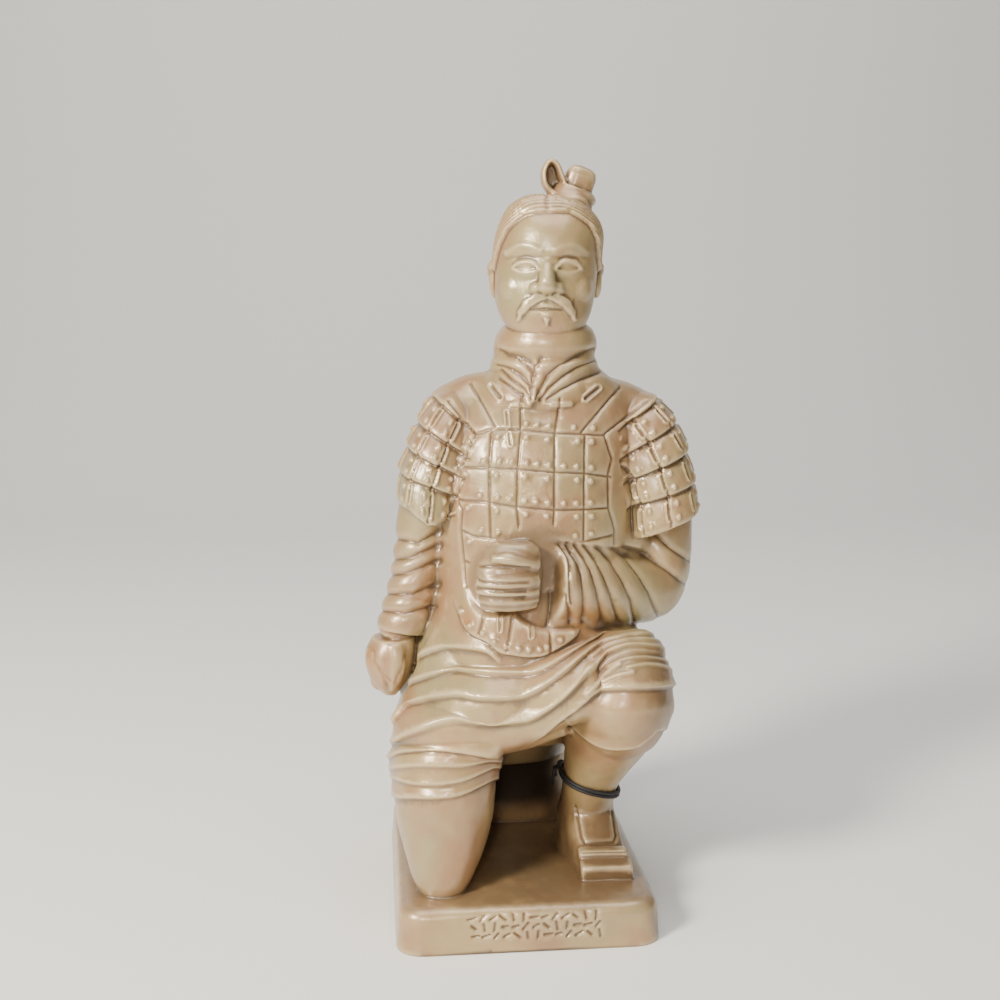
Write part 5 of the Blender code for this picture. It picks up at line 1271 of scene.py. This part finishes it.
def tone_maps(mesh):
    # Attributes for the clay: fine and broad relief, ochre stains, handled hands, and painted shade on plinth
    # top, calf and gap.
    count = len(mesh.vertices)
    points, outward = surface(mesh)
    ends = np.empty(len(mesh.edges) * 2, dtype=np.int64)
    mesh.edges.foreach_get("vertices", ends)
    first, second = ends.reshape(-1, 2).T.copy()
    links = np.bincount(np.concatenate((first, second)), minlength=count).clip(1)
    smoothed = points.copy()
    maps = {}
    for turn in range(70):
        for axis in range(3):
            total = np.bincount(first, smoothed[second, axis], count)
            total += np.bincount(second, smoothed[first, axis], count)
            smoothed[:, axis] = 0.3 * smoothed[:, axis] + 0.7 * total / links
        if turn in (11, 69):
            height = np.einsum("ij,ij->i", points - smoothed, outward)
            maps["relief" if turn == 11 else "hollow"] = height / (0.30 if turn == 11 else 1.0)
    stain = np.zeros(count)
    for spot, radius, strength in STAINS:
        reach = np.linalg.norm(points - np.array(spot, dtype=float), axis=1)
        stain = np.maximum(stain, strength * np.exp(-(reach / radius) ** 2))
    maps["stain"] = stain * 2.0 - 1.0
    hands = np.minimum(path_distance(points, FRONT_HAND),
                       np.linalg.norm(points - (-50.5, -9, 101), axis=1) + 6.0)
    # Hands are darker from handling.
    handled_and_shade = 0.75 * ramp(-hands, -17.0, -14.0)
    # Painted shade: the plinth's top faces are darkened as if shaded by the figure.
    on_base = ramp(-points[:, 2], -19.0, -17.0) * ramp(outward[:, 2], 0.5, 0.9)
    handled_and_shade = np.maximum(handled_and_shade, 0.75 * on_base)
    # Painted shade: the right calf is darkened as if turned away from the light.
    handled_and_shade = np.maximum(handled_and_shade, 0.85 * ramp(points[:, 0], 36.0, 58.0) * ramp(-points[:, 2], -122.0, -104.0))
    # The shoe and the low right-hand parts are made darker.
    handled_and_shade = np.maximum(handled_and_shade, 0.95 * ramp(points[:, 0], 14.0, 20.0) * ramp(-points[:, 2], -46.0, -34.0))
    handled_and_shade *= ramp(points[:, 1], -61.5, -58.0)
    maps["handled_and_shade"] = handled_and_shade * 2.0 - 1.0
    # Painted shade: the deep recess between the legs is painted near black.
    gap_shade_area = between(points[:, 0], -14.0, -6.0, 18.0, 26.0)
    gap_shade_area *= between(points[:, 2], 20.0, 30.0, 66.0, 74.0)
    gap_shade_area *= between(points[:, 1], -8.0, 8.0, 24.0, 30.0)
    maps["gap"] = gap_shade_area * 2.0 - 1.0
    for name, values in maps.items():
        layer = mesh.attributes.new(name, "FLOAT", "POINT")
        layer.data.foreach_set("value", np.clip(0.5 + 0.5 * values, 0.0, 1.0).astype(np.float32))


# The clay's colours: mottling, then stains, wear and painted shade, then a painted crest highlight and
# painted shade in hollows.
CREAM = (0.42, 0.295, 0.138)
ROSE = (0.36, 0.205, 0.10)
GREEN_GREY = (0.34, 0.30, 0.15)
DULL_BROWN = (0.25, 0.17, 0.088)
HANDLED_AND_SHADE_BROWN = (0.165, 0.10, 0.05)
OCHRE = (0.38, 0.17, 0.05)
RUST = (0.33, 0.18, 0.085)
RUBBED_CREST_HIGHLIGHT = (0.60, 0.47, 0.27)
SHADED = (0.18, 0.115, 0.058)
GROOVE_SHADE_BROWN = (0.12, 0.072, 0.034)
GAP_SHADE_BLACK = (0.022, 0.013, 0.009)


def clay():
    made = bpy.data.materials.new("satin clay")
    made.use_nodes = True
    tree = made.node_tree
    shader = tree.nodes["Principled BSDF"]
    place = tree.nodes.new("ShaderNodeTexCoord")

    def attribute(name):
        source = tree.nodes.new("ShaderNodeAttribute")
        source.attribute_name = name
        return source.outputs["Fac"]

    def noise(scale, detail=3.0, roughness=0.55):
        cloud = tree.nodes.new("ShaderNodeTexNoise")
        cloud.inputs["Scale"].default_value = scale
        cloud.inputs["Detail"].default_value = detail
        cloud.inputs["Roughness"].default_value = roughness
        tree.links.new(place.outputs["Object"], cloud.inputs["Vector"])
        return cloud.outputs["Fac"]

    def band(source, low, high, most=1.0):
        limits = tree.nodes.new("ShaderNodeMapRange")
        limits.inputs["From Min"].default_value = low
        limits.inputs["From Max"].default_value = high
        limits.inputs["To Max"].default_value = most
        tree.links.new(source, limits.inputs["Value"])
        return limits.outputs["Result"]

    def times(first, second):
        product = tree.nodes.new("ShaderNodeMath")
        product.operation = "MULTIPLY"
        tree.links.new(first, product.inputs[0])
        tree.links.new(second, product.inputs[1])
        return product.outputs[0]

    def mix(share, under, over):
        blend = tree.nodes.new("ShaderNodeMix")
        blend.data_type = "RGBA"
        tree.links.new(share, blend.inputs[0])
        for index, value in ((6, under), (7, over)):
            if isinstance(value, tuple):
                blend.inputs[index].default_value = (*value, 1.0)
            else:
                tree.links.new(value, blend.inputs[index])
        return blend.outputs[2]

    colour = mix(band(noise(30.0), 0.42, 0.58), CREAM, ROSE)
    colour = mix(band(noise(19.0), 0.50, 0.62, 0.75), colour, GREEN_GREY)
    colour = mix(band(noise(12.0), 0.52, 0.66, 0.5), colour, DULL_BROWN)
    # Handling darkness on the hands, a darker shoe, and painted shade on the plinth top and the right calf.
    colour = mix(times(attribute("handled_and_shade"), band(noise(48.0), 0.15, 0.50)), colour, HANDLED_AND_SHADE_BROWN)
    colour = mix(times(attribute("stain"), band(noise(75.0, 4.0), 0.28, 0.52)), colour, OCHRE)
    colour = mix(band(noise(70.0, 5.0), 0.62, 0.74, 0.5), colour, RUST)
    # Painted highlight, partly rubbed wear: raised crests are lightened.
    colour = mix(band(attribute("relief"), 0.56, 0.90, 0.75), colour, RUBBED_CREST_HIGHLIGHT)
    # Painted shade: broad hollows are darkened.
    colour = mix(band(attribute("hollow"), 0.46, 0.05, 0.60), colour, SHADED)
    # Painted shade: fine grooves and creases are darkened.
    colour = mix(band(attribute("relief"), 0.45, 0.12, 0.80), colour, GROOVE_SHADE_BROWN)
    # Painted shade: the recess between the legs goes near black.
    colour = mix(attribute("gap"), colour, GAP_SHADE_BLACK)
    tree.links.new(colour, shader.inputs["Base Color"])
    shader.inputs["Metallic"].default_value = 0.2
    shader.inputs["Specular IOR Level"].default_value = 0.7
    shader.inputs["Coat Weight"].default_value = 0.6
    shader.inputs["Coat Roughness"].default_value = 0.22
    rough = band(noise(60.0), 0.2, 0.8)
    limits = rough.node
    limits.inputs["To Min"].default_value = 0.28
    limits.inputs["To Max"].default_value = 0.48
    tree.links.new(rough, shader.inputs["Roughness"])
    grain = tree.nodes.new("ShaderNodeBump")
    grain.inputs["Strength"].default_value = 0.4
    grain.inputs["Distance"].default_value = 0.0005
    tree.links.new(noise(330.0, 4.0), grain.inputs["Height"])
    tree.links.new(grain.outputs["Normal"], shader.inputs["Normal"])
    return made


def cord_finish():
    made = bpy.data.materials.new("black elastic")
    made.use_nodes = True
    tree = made.node_tree
    shader = tree.nodes["Principled BSDF"]
    shader.inputs["Base Color"].default_value = (0.012, 0.012, 0.015, 1.0)
    shader.inputs["Roughness"].default_value = 0.62
    place = tree.nodes.new("ShaderNodeTexCoord")
    weave = tree.nodes.new("ShaderNodeTexNoise")
    weave.inputs["Scale"].default_value = 2200.0
    tree.links.new(place.outputs["Object"], weave.inputs["Vector"])
    raised = tree.nodes.new("ShaderNodeBump")
    raised.inputs["Strength"].default_value = 0.4
    raised.inputs["Distance"].default_value = 0.0002
    tree.links.new(weave.outputs["Fac"], raised.inputs["Height"])
    tree.links.new(raised.outputs["Normal"], shader.inputs["Normal"])
    return made


def finished(made, finish, node_name):
    made.data.materials.clear()
    made.data.materials.append(finish)
    made.data.polygons.foreach_set("use_smooth", [True] * len(made.data.polygons))
    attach(made, "root")
    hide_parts(node_name)


def statue_piece():
    mesh = thinned(statue_mesh())
    mesh.name = "warrior_figure"
    made = mesh_object("warrior_figure", mesh)
    finished(made, clay(), "warrior_statue")
    return made


def cord_piece(figure):
    bpy.context.view_layer.update()
    tree = BVHTree.FromObject(figure, bpy.context.evaluated_depsgraph_get())
    pieces = []
    for lift in (-0.5, 0.5):
        pieces.append(tube(cord_route(tree, lift * (CORD_DIAMETER + CORD_GAP)), True))
    route = cord_route(tree, 0.0)
    knot_place = route[CORD_KNOT_STEP]
    axis = ankle_middle()
    away = (knot_place - Vector((axis.x, axis.y, knot_place.z))).normalized()
    knot_place = knot_place + away * CORD_DIAMETER * 0.55
    for spread in (-1, 1):
        reach = away * 2.3 + Vector((0.7 * spread, 1.2 * spread, -5.0 + 0.8 * spread))
        bend = away * 2.1 + Vector((0, 0.7 * spread, -1.7))
        route = [knot_place, knot_place + bend * CORD_DIAMETER, knot_place + reach * CORD_DIAMETER]
        pieces.append(tube(route, False))
    local = bmesh.new()
    place = Matrix.Translation(knot_place)
    bmesh.ops.create_uvsphere(local, u_segments=20, v_segments=12, radius=CORD_DIAMETER * 1.25, matrix=place)
    mesh = bpy.data.meshes.new("cord_band")
    local.to_mesh(mesh)
    local.free()
    made = mesh_object("cord_band", mesh)
    joined(made, pieces)
    finished(made, cord_finish(), "ankle_cord")
    return made


def studio():
    # A pale floor that sweeps up into a wall behind, soft lamps and a dim even sky.
    sweep = bmesh.new()
    bmesh.ops.create_grid(sweep, x_segments=2, y_segments=90, size=1.0)
    for vert in sweep.verts:
        along = (vert.co.y + 1.0) * 3.2 - 3.0
        bend = 0.9
        start = 0.9
        angle = min(max((along - start) / bend, 0.0), math.pi / 2)
        rise = max(along - start - bend * math.pi / 2, 0.0)
        vert.co = Vector((vert.co.x * 5.0, min(along, start) + bend * math.sin(angle),
                          bend * (1 - math.cos(angle)) + rise - 0.0002))
    mesh = bpy.data.meshes.new("studio_floor")
    sweep.to_mesh(mesh)
    sweep.free()
    mesh.polygons.foreach_set("use_smooth", [True] * len(mesh.polygons))
    floor = mesh_object("studio_floor", mesh)
    pale = bpy.data.materials.new("pale floor")
    pale.use_nodes = True
    shader = pale.node_tree.nodes["Principled BSDF"]
    shader.inputs["Base Color"].default_value = (0.86, 0.855, 0.84, 1.0)
    shader.inputs["Roughness"].default_value = 0.95
    floor.data.materials.append(pale)
    world = bpy.data.worlds.new("soft room")
    bpy.context.scene.world = world
    world.use_nodes = True
    background = world.node_tree.nodes["Background"]
    background.inputs["Color"].default_value = (1.0, 0.97, 0.93, 1.0)
    background.inputs["Strength"].default_value = 0.10
    lamps = (
        ("key", (-0.84, -0.70, 0.72), 0.30, 27.0, (1.0, 0.92, 0.78)),
        ("front", (-0.20, -1.15, 0.60), 0.16, 5.0, (1.0, 0.95, 0.86)),
        ("wall", (0.0, -0.1, 1.9), 1.6, 34.0, (1.0, 0.99, 0.97)),
    )
    for name, place, size, power, tint in lamps:
        light = bpy.data.lights.new(name, "AREA")
        light.shape = "DISK"
        light.size = size
        light.energy = power
        light.color = tint
        holder = bpy.data.objects.new(name, light)
        bpy.context.scene.collection.objects.link(holder)
        holder.location = place
        target = Vector((0, 1.6, 0.4)) if name == "wall" else Vector((0, 0, 0.15))
        holder.rotation_euler = (target - Vector(place)).to_track_quat("-Z", "Y").to_euler()


def camera():
    lens = bpy.data.cameras.new("camera")
    lens.lens = 46.8
    lens.sensor_width = 36.0
    lens.clip_start = 0.01
    lens.dof.use_dof = False
    holder = bpy.data.objects.new("camera", lens)
    bpy.context.scene.collection.objects.link(holder)
    holder.location = ((VIEWPOINT[0] - PLINTH_SHIFT) * UNIT, VIEWPOINT[1] * UNIT, VIEWPOINT[2] * UNIT)
    holder.rotation_euler = (math.radians(90.0 - 8.746), 0.0, math.radians(-5.514))
    bpy.context.scene.camera = holder


figure = statue_piece()
cord_piece(figure)
studio()
camera()
